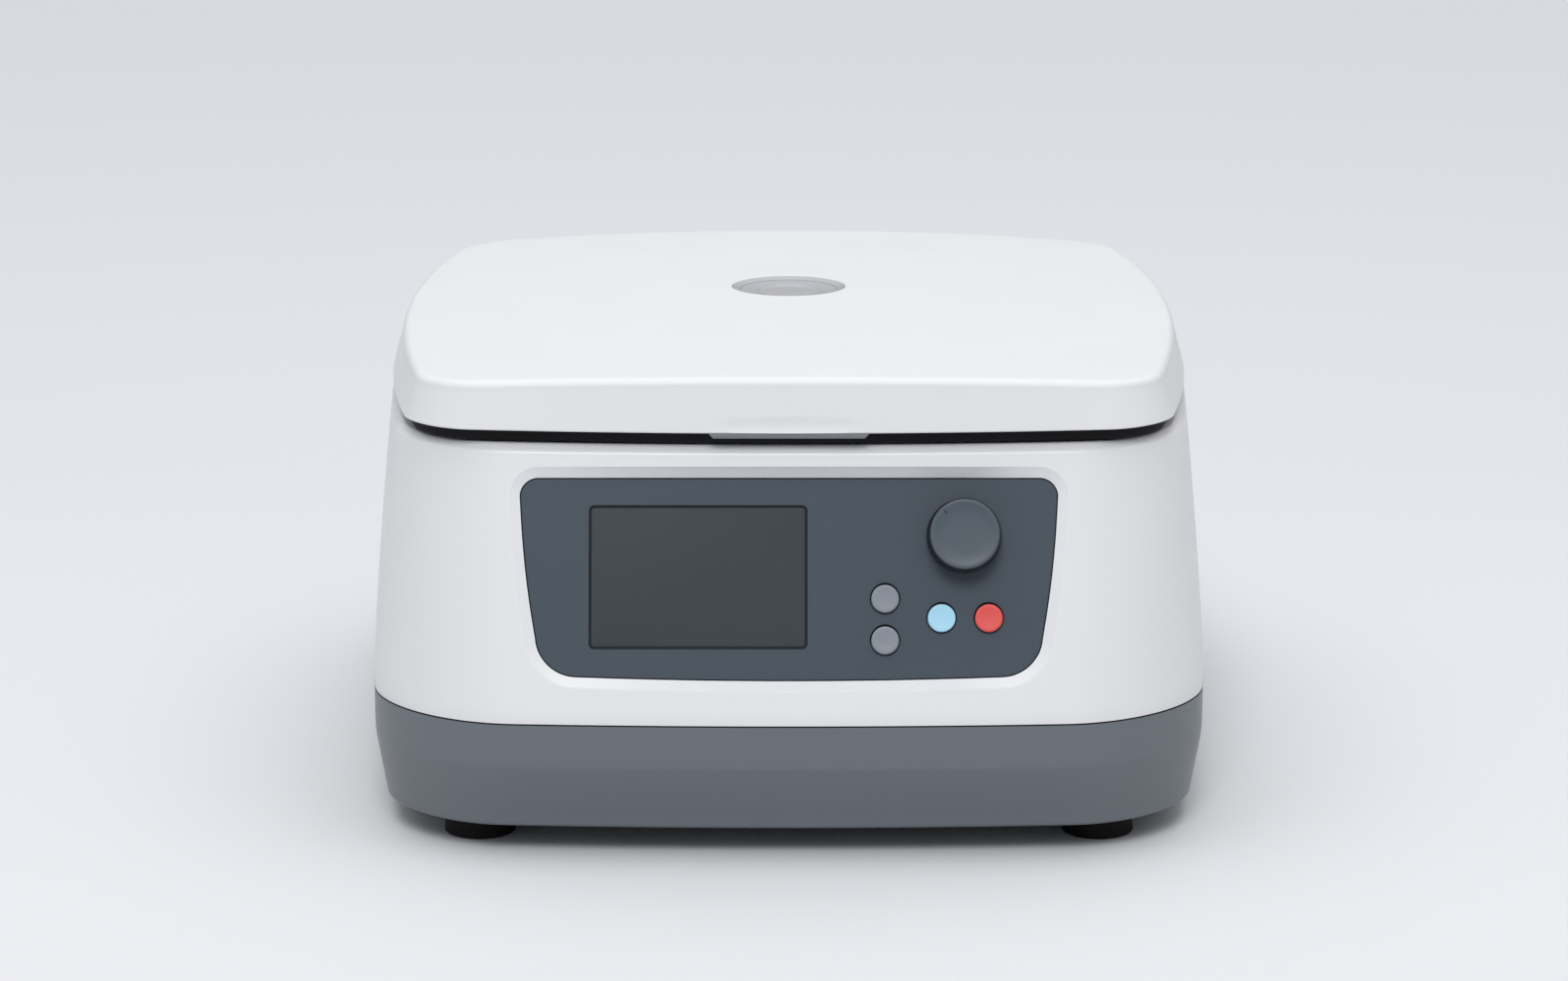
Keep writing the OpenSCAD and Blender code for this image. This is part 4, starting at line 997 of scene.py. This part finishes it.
@dataclass
class Panel:
    """The flat panel in its bevelled recess.

    Attributes:
        body: The body whose front it is set in.
        bottom_z: Height of the panel's lower edge.
        height: Height along the slope.
        top_half: Half width at the top.
        bottom_half: Half width at the bottom.
        top_r: Radius of the upper corners.
        bottom_r: Radius of the lower corners.
        bulge: How far the sides bow out.
        sag: Sag of the lower edge.
        depth: Depth of the recess at the middle.
        bevel: Width of the bevel.
    """

    body: Body
    bottom_z: float = 87.6 * MM
    height: float = 92.9 * MM
    top_half: float = 125 * MM
    bottom_half: float = 117 * MM
    top_r: float = 8 * MM
    bottom_r: float = 18 * MM
    bulge: float = 2.1 * MM
    sag: float = 1.8 * MM
    depth: float = 6 * MM
    bevel: float = 5.2 * MM

    def place(self) -> Matrix:
        """The panel's frame: X to the right, Y up the slope and Z out of the panel.

        Returns:
            The matrix from the panel's frame to the shared frame.
        """
        lean = math.radians(self.body.lean)
        origin = Vector((0, self.body.front_y(self.bottom_z) + self.depth / math.cos(lean), self.bottom_z))
        return Matrix.Translation(origin) @ Matrix.Rotation(math.pi / 2 - lean, 4, "X")

    def face_rise(self, u: float, v: float) -> float:
        """Height of the bowed front face over the panel's plane.

        Args:
            u: Place across the panel.
            v: Place up the panel.

        Returns:
            The height in metres.
        """
        lean = math.radians(self.body.lean)
        z = self.bottom_z + v * math.cos(lean)
        w = self.body.outline(z).half_w - self.body.bow_x
        return self.depth - self.body.bow_y * math.cos(lean) * (u / w) ** 2

    def outline(self, out: float) -> list[Point]:
        """The panel's outline, grown by a distance.

        Args:
            out: How far the outline grows.

        Returns:
            Points across and up the panel, anticlockwise.
        """
        low_x, high_x = self.bottom_half - self.bottom_r, self.top_half - self.top_r
        high_v = self.height - self.top_r
        steps, spans = 14, 40
        shares = [2 * k / spans - 1 for k in range(1, spans)]

        def side(x0: float, v0: float, x1: float, v1: float) -> list[Point]:
            """Points on a slanted side."""
            return [(x0 + (x1 - x0) * k / steps, v0 + (v1 - v0) * k / steps) for k in range(1, steps)]

        def bowed(u: float, v: float) -> float:
            """How far out a point goes where its side bows."""
            return u + math.copysign(self.bulge * math.sin(math.pi * min(1.0, max(0.0, v / self.height))), u)

        bottom = [(low_x * share, -out - self.sag * (1 - share ** 2)) for share in shares]
        top = [(-high_x * share, self.height + out) for share in shares]
        low_r, high_r = self.bottom_r + out, self.top_r + out
        flat = (fillet((-low_x, self.bottom_r), low_r, 180, 270, steps) + bottom
                + fillet((low_x, self.bottom_r), low_r, 270, 360, steps)
                + side(low_x + low_r, self.bottom_r, high_x + high_r, high_v)
                + fillet((high_x, high_v), high_r, 0, 90, steps) + top
                + fillet((-high_x, high_v), high_r, 90, 180, steps)
                + side(-high_x - high_r, high_v, -low_x - low_r, self.bottom_r))
        return [(bowed(u, v), v) for u, v in flat]

    def ring(self, out: float, height: Callable[[float, float], float]) -> Ring:
        """The outline at a height over the panel that depends on the place."""
        return [self.place() @ Vector((u, v, height(u, v))) for u, v in self.outline(out)]

    def recess_cutter(self) -> Shape:
        """The shape that opens the housing behind the bevel."""
        out = self.bevel - 0.3 * MM
        return skin([self.ring(out, lambda u, v: -6 * MM), self.ring(out, lambda u, v: 16 * MM)], caps=True)

    def build_bezel(self) -> Piece:
        """Makes the bevelled frame with its rounded outer edge.

        Returns:
            The frame.
        """
        proud, blend = 0.04 * MM, 0.08
        start, knee, end = self.bevel + 0.3 * MM, self.bevel - 0.05 * MM, self.bevel * (1 - blend)
        rings = [self.ring(start, lambda u, v: self.face_rise(u, v) - 0.5 * MM)]
        for k in range(9):
            t = k / 8
            out = (1 - t) ** 2 * start + 2 * t * (1 - t) * knee + t * t * end
            share, lift = 1 - blend * t * t, proud * (1 - t * t)
            rings.append(self.ring(out, lambda u, v, a=share, b=lift: self.face_rise(u, v) * a + b))
        foot = 0.3 * MM
        for share in (1.0, 0.4):
            out = foot * share
            rings.append(self.ring(out, lambda u, v, out=out: self.face_rise(u, v) * out / self.bevel))
        rings.append(self.ring(foot * 0.4, lambda u, v: -2 * MM))
        return smooth_object("panel_bezel", skin(rings), BEZEL, "base", (), 50)

    def build_seal(self) -> Piece:
        """Makes the thin dark bead between the panel and its frame.

        Returns:
            The bead.
        """
        high = 0.08 * MM
        places = ((0.14 * MM, -high), (0.14 * MM, high), (-0.5 * MM, high), (-0.56 * MM, -high))
        rings = [self.ring(out, lambda u, v, rise=rise: rise) for out, rise in places]
        return smooth_object("panel_seal", skin(rings), SEAM_AND_GAP_SHADE, "base", (), 50)

    def centre_of(self, node: str) -> Point:
        """Where a control sits on the panel.

        Args:
            node: The control's CAD node.

        Returns:
            Its place across and up the panel.
        """
        low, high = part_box(node)
        spot = self.place().inverted() @ ((low + high) / 2)
        return spot.x, spot.y

    def screen_corners(self) -> tuple[Vector, Vector]:
        """The screen's lower left and upper right corners on the panel.

        Returns:
            The two corners, across and up the panel.
        """
        verts = [self.place().inverted() @ v.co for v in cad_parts["display_glass"].data.vertices]
        return (Vector((min(v.x for v in verts), min(v.y for v in verts))),
                Vector((max(v.x for v in verts), max(v.y for v in verts))))

    def build_screen(self) -> list[Piece]:
        """Makes the screen's glass and the thin frame round it.

        Returns:
            The glass and the frame.
        """
        low, high = self.screen_corners()
        radius = 1.6 * MM
        corners = ((high.x, low.y, -90), (high.x, high.y, 0), (low.x, high.y, 90), (low.x, low.y, 180))

        def outline(out: float, z: float) -> Ring:
            """A rounded rectangle round the screen.

            Args:
                out: How far it lies outside the screen.
                z: Height over the panel.

            Returns:
                The ring.
            """
            flat: list[Point] = []
            r = radius + max(0.0, out)
            for x, y, start in corners:
                sx = -1 if x == high.x else 1
                sy = -1 if y == high.y else 1
                centre = (x - sx * out + sx * r, y - sy * out + sy * r)
                flat += fillet(centre, r, start, start + 90, 5)
            return [self.place() @ Vector((x, y, z)) for x, y in flat]

        def shape(*places: Point, caps: bool = False) -> Shape:
            """A skin through outlines given by growth and height in millimetres."""
            return skin([outline(out * MM, z * MM) for out, z in places], caps=caps)

        glass = shape((-0.3, -1.5), (-0.3, -0.35), (-0.6, -0.15), caps=True)
        trim = shape((0.9, -0.2), (0.85, 0.12), (0.3, 0.18), (-0.25, 0.02), (-0.3, -1.2))
        return [smooth_object("screen_glass", glass, SCREEN, "base", ("display_glass",)),
                smooth_object("screen_trim", trim, SCREEN_FRAME, "base", (), 50)]


# Controls


@dataclass
class Controls:
    """The knob and the four buttons.

    Attributes:
        panel: The panel that they sit on.
        knob_d: Diameter of the knob.
        knob_l: Length of the knob.
        button_d: Diameter of a button.
        button_out: How far a button stands out.
        knob_gap: Gap between the knob and the panel.
        mark_turn: Where the knob's mark stands, in degrees.
    """

    panel: Panel
    knob_d: float = 35 * MM
    knob_l: float = 15 * MM
    button_d: float = 13 * MM
    button_out: float = 2.4 * MM
    knob_gap: float = 0.8 * MM
    mark_turn: float = 131.0

    def spot(self, node: str) -> Matrix:
        """The frame of a control on the panel."""
        u, v = self.panel.centre_of(node)
        return self.panel.place() @ Matrix.Translation((u, v, 0))

    def build_knob(self) -> list[Piece]:
        """Makes the knob with its slightly dished face, its side darkened as painted shade, and its mark.

        Returns:
            The knob, its side and its mark.
        """
        gap, r = self.knob_gap, self.knob_d / 2
        top = gap + self.knob_l
        edge, taper, spot = 0.6 * MM, 1.3 * MM, self.spot("knob")
        profile = (inside(r, gap, (17.5, 2), (2.5, 2), (2.2, 0), (0.5, 0))
                   + fillet((r - 0.9 * MM, gap + 0.5 * MM), 0.5 * MM, -90, 0)
                   + fillet((r - taper - edge, top - edge), edge, 0, 90, 8)
                   + inside(r, top, (3.2, -0.02), (3.7, -0.12), (8.75, -0.3), (17.5, -0.35)))
        # The skirt's near-black paints the shade on the knob's side wall.
        skirt = (inside(r, gap, (0.6, 0.3), (0.15, 0.4), (0.0, 0.7), (0.35, 8))
                 + inside(r - taper, top, (-0.3, -1.9), (0.0, -1.5), (0.3, -1.6)))
        half, depth = 0.25 * MM, 0.6 * MM
        mark = brick((r - 4.8 * MM, -half, top - depth), (r - 2.2 * MM, half, top + 0.04 * MM), 0.04 * MM)
        turn = spot @ Matrix.Rotation(math.radians(self.mark_turn), 4, "Z")
        bmesh.ops.transform(mark, matrix=turn, verts=mark.verts)
        return [smooth_object("menu_knob", turned(profile, spot, 128), KNOB, "knob", ("knob",)),
                smooth_object("knob_skirt", turned(skirt, spot, 128), KNOB_SIDE_SHADE, "knob", ()),
                smooth_object("knob_mark", mark, KNOB_MARK, "knob", ())]

    def build_button(self, node: str, finish: Finish) -> list[Piece]:
        """Makes one domed button and the dark ring that it stands in.

        Args:
            node: The button's CAD node.
            finish: Its finish.

        Returns:
            The button and its ring.
        """
        r, out = self.button_d / 2, self.button_out
        edge, foot, spot = 0.7 * MM, -3.6 * MM, self.spot(node)
        profile = ([(0.0, foot), (r, foot)] + fillet((r - edge, out - edge), edge, 0, 90, 6)
                   + [(r * 0.7, out - 0.08 * MM), (r * 0.35, out - 0.22 * MM), (0.0, out - 0.26 * MM)])
        ring = inside(r, 0.0, (-0.36, -1.5), (-0.38, 0.04), (-0.5, 0.1), (-0.62, 0.08), (-0.7, -0.1))
        return [smooth_object(f"{node}_cap", turned(profile, spot, 72), finish, node, (node,)),
                smooth_object(f"{node}_ring", turned(ring, spot, 72), SEAM_AND_GAP_SHADE, "base", (), 60)]

    def build(self) -> None:
        """Makes every control."""
        self.build_knob()
        for node, finish, slot in (("mode_button_upper", GREY_BUTTON, "button_grey"),
                                   ("mode_button_lower", GREY_BUTTON, "button_grey"),
                                   ("start_button", BLUE_BUTTON, "button_blue"),
                                   ("stop_button", RED_BUTTON, "button_red")):
            self.build_button(node, finish)


# Lid


@dataclass
class Lid:
    """The crowned lid, its window and its grip.

    Attributes:
        corner: Corner radius.
        bow_x: How far each side bows out.
        bow_y: How far the front and the back bow out.
        wall: Wall thickness.
        crown_side: Drop of the crown at the sides.
        crown_end: Drop of the crown at the front and back.
        side_in: How far the sides draw in towards the top.
        end_in: How far the ends draw in towards the top.
        rim: Radius of the upper edge.
        window_r: Radius of the window's opening.
        front: How far the lid reaches to the front.
        back: How far the lid reaches to the back.
        crown_z: Height of the crown.
        low: Lowest corner of the lid's box.
        high: Highest corner of the lid's box.
    """

    corner: float = 28 * MM
    bow_x: float = 20 * MM
    bow_y: float = 12 * MM
    wall: float = 3 * MM
    crown_side: float = 6.6 * MM
    crown_end: float = 3.5 * MM
    side_in: float = 5 * MM
    end_in: float = 3 * MM
    rim: float = 3.5 * MM
    window_r: float = 28.5 * MM
    front: float = 199 * MM
    back: float = 200 * MM
    crown_z: float = 228 * MM
    low: Vector = field(default_factory=lambda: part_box("lid_shell")[0])
    high: Vector = field(default_factory=lambda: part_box("lid_shell")[1])

    def crown(self, point: Vector) -> float:
        """Height of the crown over a place."""
        return (self.crown_z - self.crown_side * (point.x / self.high.x) ** 2
                - self.crown_end * (point.y / self.front) ** 2)

    def outline(self, inset_x: float, inset_y: float) -> Outline:
        """The lid's outline, drawn in."""
        whole = Outline(self.high.x, -self.front, self.back, self.corner, self.bow_x, self.bow_y)
        return whole.inset(inset_x, inset_y)

    def dropped(self, drop: float) -> Callable[[Vector], float]:
        """The crown's height less a drop."""
        return lambda point: self.crown(point) - drop

    def inward(self, ring: Ring, share: float, drop: float) -> Ring:
        """A ring shrunk towards the window, laid on the crown.

        Args:
            ring: The ring to shrink.
            share: What is left of each distance from the window's middle.
            drop: How far under the crown the ring lies.

        Returns:
            The new ring.
        """
        made = []
        for point in ring:
            spot = Vector((point.x * share, ROTOR_AXIS.y + (point.y - ROTOR_AXIS.y) * share, 0))
            spot.z = self.crown(spot) - drop
            made.append(spot)
        return made

    def build_shell(self) -> Piece:
        """Makes the lid's shell, its grip scoop and its hinge notches.

        Returns:
            The shell.
        """
        z, lip = self.low.z, 0.7 * MM
        rings = [self.outline(lip * inset, lip * inset).ring(z + lip * rise)
                 for inset, rise in ((1.0, 0.0), (0.3, 0.3), (0.0, 1.0))]
        bottom = rings[-1]
        shoulder = self.outline(self.side_in, self.end_in).ring(self.dropped(self.rim))
        rings += [between_rings(bottom, shoulder, k / 8) for k in range(1, 9)]
        for k in range(1, 11):
            a = math.radians(9 * k)
            inset = self.rim * (1 - math.cos(a))
            rings.append(self.outline(self.side_in + inset, self.end_in + inset).ring(
                self.dropped(self.rim * (1 - math.sin(a)))))
        rim = rings[-1]
        rings += [self.inward(rim, share, 0.0) for share in (0.97, *(k / 10 for k in range(9, 1, -1)))]
        flat = self.crown(ROTOR_AXIS) - 0.15 * MM
        opening = circle_ring(rim, ROTOR_AXIS, self.window_r + 0.5 * MM, flat)
        for point in opening:
            point.z = self.crown(point)
        rings += [opening, circle_ring(rim, ROTOR_AXIS, self.window_r, flat - 0.5 * MM),
                  circle_ring(rim, ROTOR_AXIS, self.window_r, flat - self.wall)]
        inner = self.outline(self.side_in + self.wall, self.end_in + self.wall).ring(
            self.dropped(self.wall + 3 * MM))
        rings += [self.inward(inner, share, self.wall) for share in (0.5, 0.97)]
        walled = self.outline(self.wall, self.wall)
        rings += [inner, walled.ring(z + 1.5 * MM), walled.ring(z)]
        piece = smooth_object("lid_cover", skin(rings, closed=True), LID, "lid", ("lid_shell",))
        cut(piece, [self.scoop(), *self.hinge_notches()], 25)
        return piece

    def scoop(self) -> Shape:
        """The shallow hollow over the grip.

        Returns:
            The cutter.
        """
        bm = bmesh.new()
        radius, width, depth = 13 * MM, 64 * MM, 1.15 * MM
        bmesh.ops.create_cone(bm, cap_ends=True, segments=96, radius1=radius, radius2=radius, depth=width)
        ends = [e for e in bm.edges if any(len(f.verts) > 4 for f in e.link_faces)]
        round_edges(bm, ends, 5 * MM, 8)
        lying = Matrix.Rotation(math.pi / 2, 4, "Y")
        place = Matrix.Translation((0, -self.front + depth - radius, self.low.z + 5 * MM))
        bmesh.ops.transform(bm, matrix=place @ lying, verts=bm.verts)
        return bm

    def hinge_notches(self, drop: float = -1 * MM, room: float = 0.0) -> list[Shape]:
        """The notches that the hinge arms pass through.

        Args:
            drop: Where the notches start, from the lid's lower edge.
            room: More room at the sides.

        Returns:
            The notches.
        """
        low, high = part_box("lid_hinge_arms")
        arm = 16 * MM
        spans = ((low.x, low.x + arm), (high.x - arm, high.x))
        return [brick((x0 - MM - room, self.back - 20 * MM, self.low.z + drop),
                      (x1 + MM + room, self.back + MM, self.low.z + 1.5 * MM)) for x0, x1 in spans]

    def build_window(self) -> None:
        """Makes the ring round the window and the pane in it."""
        low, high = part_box("window_ring")
        top, outer, inner = high.z, self.window_r - 0.1 * MM, self.window_r - 4 * MM
        pane_top = top - 1.6 * MM
        ring = ([(inner, low.z)] + inside(inner, pane_top, (0.0, 0.2), (-0.3, 0.35))
                + inside(outer, top, (1.1, -0.25), (0.75, -0.1), (0.45, -0.12), (0.35, -0.6), (0.0, -0.7))
                + [(outer, low.z), (inner, low.z)])
        smooth_object("window_bezel", turned(ring, ON_AXIS, 128), WINDOW_RING, "lid", ("window_ring",),
                      40)
        pane_r, well = inner - 0.02 * MM, 0.62 * inner
        pane = ([(0.0, pane_top - 4 * MM)]
                + inside(pane_r, pane_top, (0.0, -4), (0.0, -0.25), (0.25, 0.0))
                + inside(well, pane_top, (-2.2, -0.35), (-0.6, -0.5), (0.0, -1.1))
                + [(well * 0.6, pane_top - 1.0 * MM), (0.0, pane_top - 0.9 * MM)])
        smooth_object("window_pane", turned(pane, ON_AXIS, 128), WINDOW, "lid", ("lid_window",),
                      30)
        groove = inside(outer, top, (-0.02, -0.62), (-0.35, -0.62), (-0.35, -2))
        smooth_object("window_seam", turned(groove, ON_AXIS, 128), SEAM_AND_GAP_SHADE, "lid", (), 40)

    def build_seal(self) -> Piece:
        """Makes the dark bulb seal under the lid's edge, whose near-black paints the deep shade in the gap.

        Returns:
            The seal.
        """
        low, high = self.low.z - 6.4 * MM, self.low.z + 0.4 * MM
        places = ((4.0, high), (4.0, low + 1.5 * MM), (4.5, low + 0.5 * MM), (5.7, low),
                  (6.9, low + 0.5 * MM), (7.5, high))
        rings = [self.outline(inset * MM, (inset + 2.5) * MM).ring(z) for inset, z in places]
        # The seal's near-black is painted shade, the darkness deep in the gap under the lid.
        piece = smooth_object("lid_edge_seal_painted_shade", skin(rings, closed=True), SEAM_AND_GAP_SHADE, "lid", (), 50)
        cut(piece, self.hinge_notches(-8 * MM, 8 * MM), 50)
        return piece

    def build_grip(self) -> Piece:
        """Makes the finger grip under the front edge, in a grey that paints the shade under the lid.

        Returns:
            The grip.
        """
        low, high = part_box("lid_grip")
        half, front = high.x - 0.5 * MM, -self.front + 0.7 * MM
        bm = brick((-half, front, low.z), (half, front + 12 * MM, self.low.z - 0.02 * MM), 0.0)
        for vert in bm.verts:
            if vert.co.z < low.z + MM and vert.co.y < front + MM:
                vert.co.x *= 1 - 2.2 * MM / half
        round_edges(bm, bm.edges, 0.6 * MM, 4)
        # Grey of the grip stands in for the shade under the lid.
        return smooth_object("finger_grip", bm, GRIP_SHADE_GREY, "lid", ("lid_grip",))

    def build(self) -> None:
        """Makes the lid's pieces."""
        self.build_shell()
        self.build_window()
        self.build_seal()
        self.build_grip()


# Bowl and rotor


@dataclass
class Chamber:
    """The spun bowl.

    Attributes:
        radius: Inner radius.
        sheet: Thickness of the sheet.
        corner: Inner radius between the floor and the wall.
        boss: Radius of the hole for the shaft.
    """

    radius: float = 150 * MM
    sheet: float = 2 * MM
    corner: float = 20 * MM
    boss: float = 14 * MM

    def build(self) -> Piece:
        """Makes the bowl with its rim.

        Returns:
            The bowl.
        """
        low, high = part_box("bowl")
        floor, rim = low.z + self.sheet, high.x
        centre = (self.radius - self.corner, floor + self.corner)
        boss, wall = self.boss, self.boss + self.sheet
        profile = ([(rim, high.z - 0.4 * MM), (rim - 0.4 * MM, high.z), (self.radius + 0.8 * MM, high.z),
                    (self.radius, high.z - 0.8 * MM)]
                   + fillet(centre, self.corner, 0, -90, 10)
                   + [(wall, floor), (wall, floor + 6 * MM), (boss, floor + 6 * MM), (boss, low.z)]
                   + fillet(centre, self.corner + self.sheet, -90, 0, 10)
                   + [(self.radius + self.sheet, high.z - 1.5 * MM), (rim, high.z - 1.5 * MM),
                      (rim, high.z - 0.4 * MM)])
        return smooth_object("spun_bowl", turned(profile, ON_AXIS, 160), STEEL, "base", ("bowl",))


def dress_nodes() -> None:
    """Gives every CAD node its finish, for those that no piece replaces."""
    for name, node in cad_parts.items():
        kind = name.rsplit("_", 1)[0]
        finish = NODE_FINISH.get(name) or CARRIER_FINISH.get(kind, BLACK)
        if node.data.materials:
            for slot in node.material_slots:
                slot.material = finish.material()
        else:
            node.data.materials.append(finish.material())


# Studio


@dataclass
class Studio:
    """The floor, the light and the camera.

    Attributes:
        image: Width and height of the photograph in pixels.
        focal: Focal length in pixels.
        pitch: How far the camera looks down, in degrees.
        eye: Where the camera stands.
        key_way: The way the key light shines.
        floor_r: Radius of the floor.
    """

    image: tuple[int, int] = (1586, 992)
    focal: float = 5000.0
    pitch: float = 13.16
    eye: Vector = field(default_factory=lambda: Vector((-2.3, -2440.7, 696.2)) * MM)
    key_way: Vector = field(default_factory=lambda: Vector((0.06, 1.0, -1.0)))
    floor_r: float = 14.0

    def build_camera(self) -> None:
        """Makes the camera at the photograph's view."""
        data = bpy.data.cameras.new("camera")
        data.sensor_width = 36.0
        data.lens = self.focal * data.sensor_width / self.image[0]
        camera = linked("camera", data)
        camera.location = self.eye
        camera.rotation_euler = (math.radians(90 - self.pitch), 0, 0)
        bpy.context.scene.camera = camera

    def build_floor(self) -> None:
        """Makes the pale floor, whose colour darkens away from the camera as painted fall-off of the light.
        """
        bm = bmesh.new()
        bmesh.ops.create_circle(bm, cap_ends=True, segments=96, radius=self.floor_r)
        material, graph = new_material("floor_paper")
        depth = graph.add("ShaderNodeSeparateXYZ", {}, {0: graph.place()}, 1)
        # Painted fall-off of the light: the floor turns darker from near to far.
        nearest, fade = -0.3, 0.9
        far = graph.add("ShaderNodeMath", {"operation": "DIVIDE", "use_clamp": True},
                        {0: depth - nearest, 1: fade})
        near = graph.mix(graph.noise(3.0, 2.0), linear(213, 214, 217), linear(214, 215, 218))
        graph.set("Base Color", graph.mix(far, near, linear(206, 207, 211)))
        graph.set("Roughness", 0.9)
        graph.set("Specular IOR Level", 0.2)
        mesh = mesh_of("floor", bm)
        mesh.materials.append(material)
        linked("floor", mesh)

    def build_world(self) -> None:
        """Makes the even light from all round and the plain backdrop."""
        world = bpy.data.worlds.new("studio")
        bpy.context.scene.world = world
        world.use_nodes = True
        graph = Graph(world.node_tree)
        graph.tree.nodes.remove(graph.find("BACKGROUND"))
        way = graph.add("ShaderNodeTexCoord", {}, {}, "Generated")
        up = graph.add("ShaderNodeSeparateXYZ", {}, {0: way}, 2)
        rise = graph.add("ShaderNodeMapRange", {}, {"Value": up, "To Min": 0.22, "To Max": 1.25})
        shown = graph.add("ShaderNodeBackground", {}, {"Color": linear(240, 240, 242), "Strength": rise})
        backdrop = graph.add("ShaderNodeBackground", {}, {"Color": linear(226, 227, 232), "Strength": 1.0})
        seen = graph.add("ShaderNodeLightPath", {}, {}, "Is Camera Ray")
        both = graph.add("ShaderNodeMixShader", {}, {0: seen, 1: shown, 2: backdrop})
        graph.feed(graph.find("OUTPUT_WORLD").inputs[0], both)

    def build_lamps(self) -> None:
        """Makes the soft key light and the soft box overhead."""
        key = bpy.data.lights.new("key", "SUN")
        key.angle = math.radians(22)
        key.energy = 1.33
        linked("key", key).rotation_euler = self.key_way.to_track_quat("-Z", "Y").to_euler()
        overhead = bpy.data.lights.new("overhead", "AREA")
        overhead.size = 2.0
        overhead.energy = 9.5
        linked("overhead", overhead).location = (0.0, 0.1, 1.9)

    def build(self) -> None:
        """Makes the whole studio."""
        self.build_camera()
        self.build_floor()
        self.build_world()
        self.build_lamps()
        bpy.context.scene.view_settings.view_transform = "Standard"


def main() -> None:
    """Builds the studio and every piece."""
    logging.basicConfig(level=logging.INFO, format="%(message)s")
    Studio().build()
    dress_nodes()
    body = Body()
    panel = Panel(body)
    body.build_housing(panel)
    body.build_base()
    body.build_feet()
    panel.build_bezel()
    panel.build_seal()
    panel.build_screen()
    Controls(panel).build()
    Lid().build()
    Chamber().build()


if __name__ == "__main__":
    main()
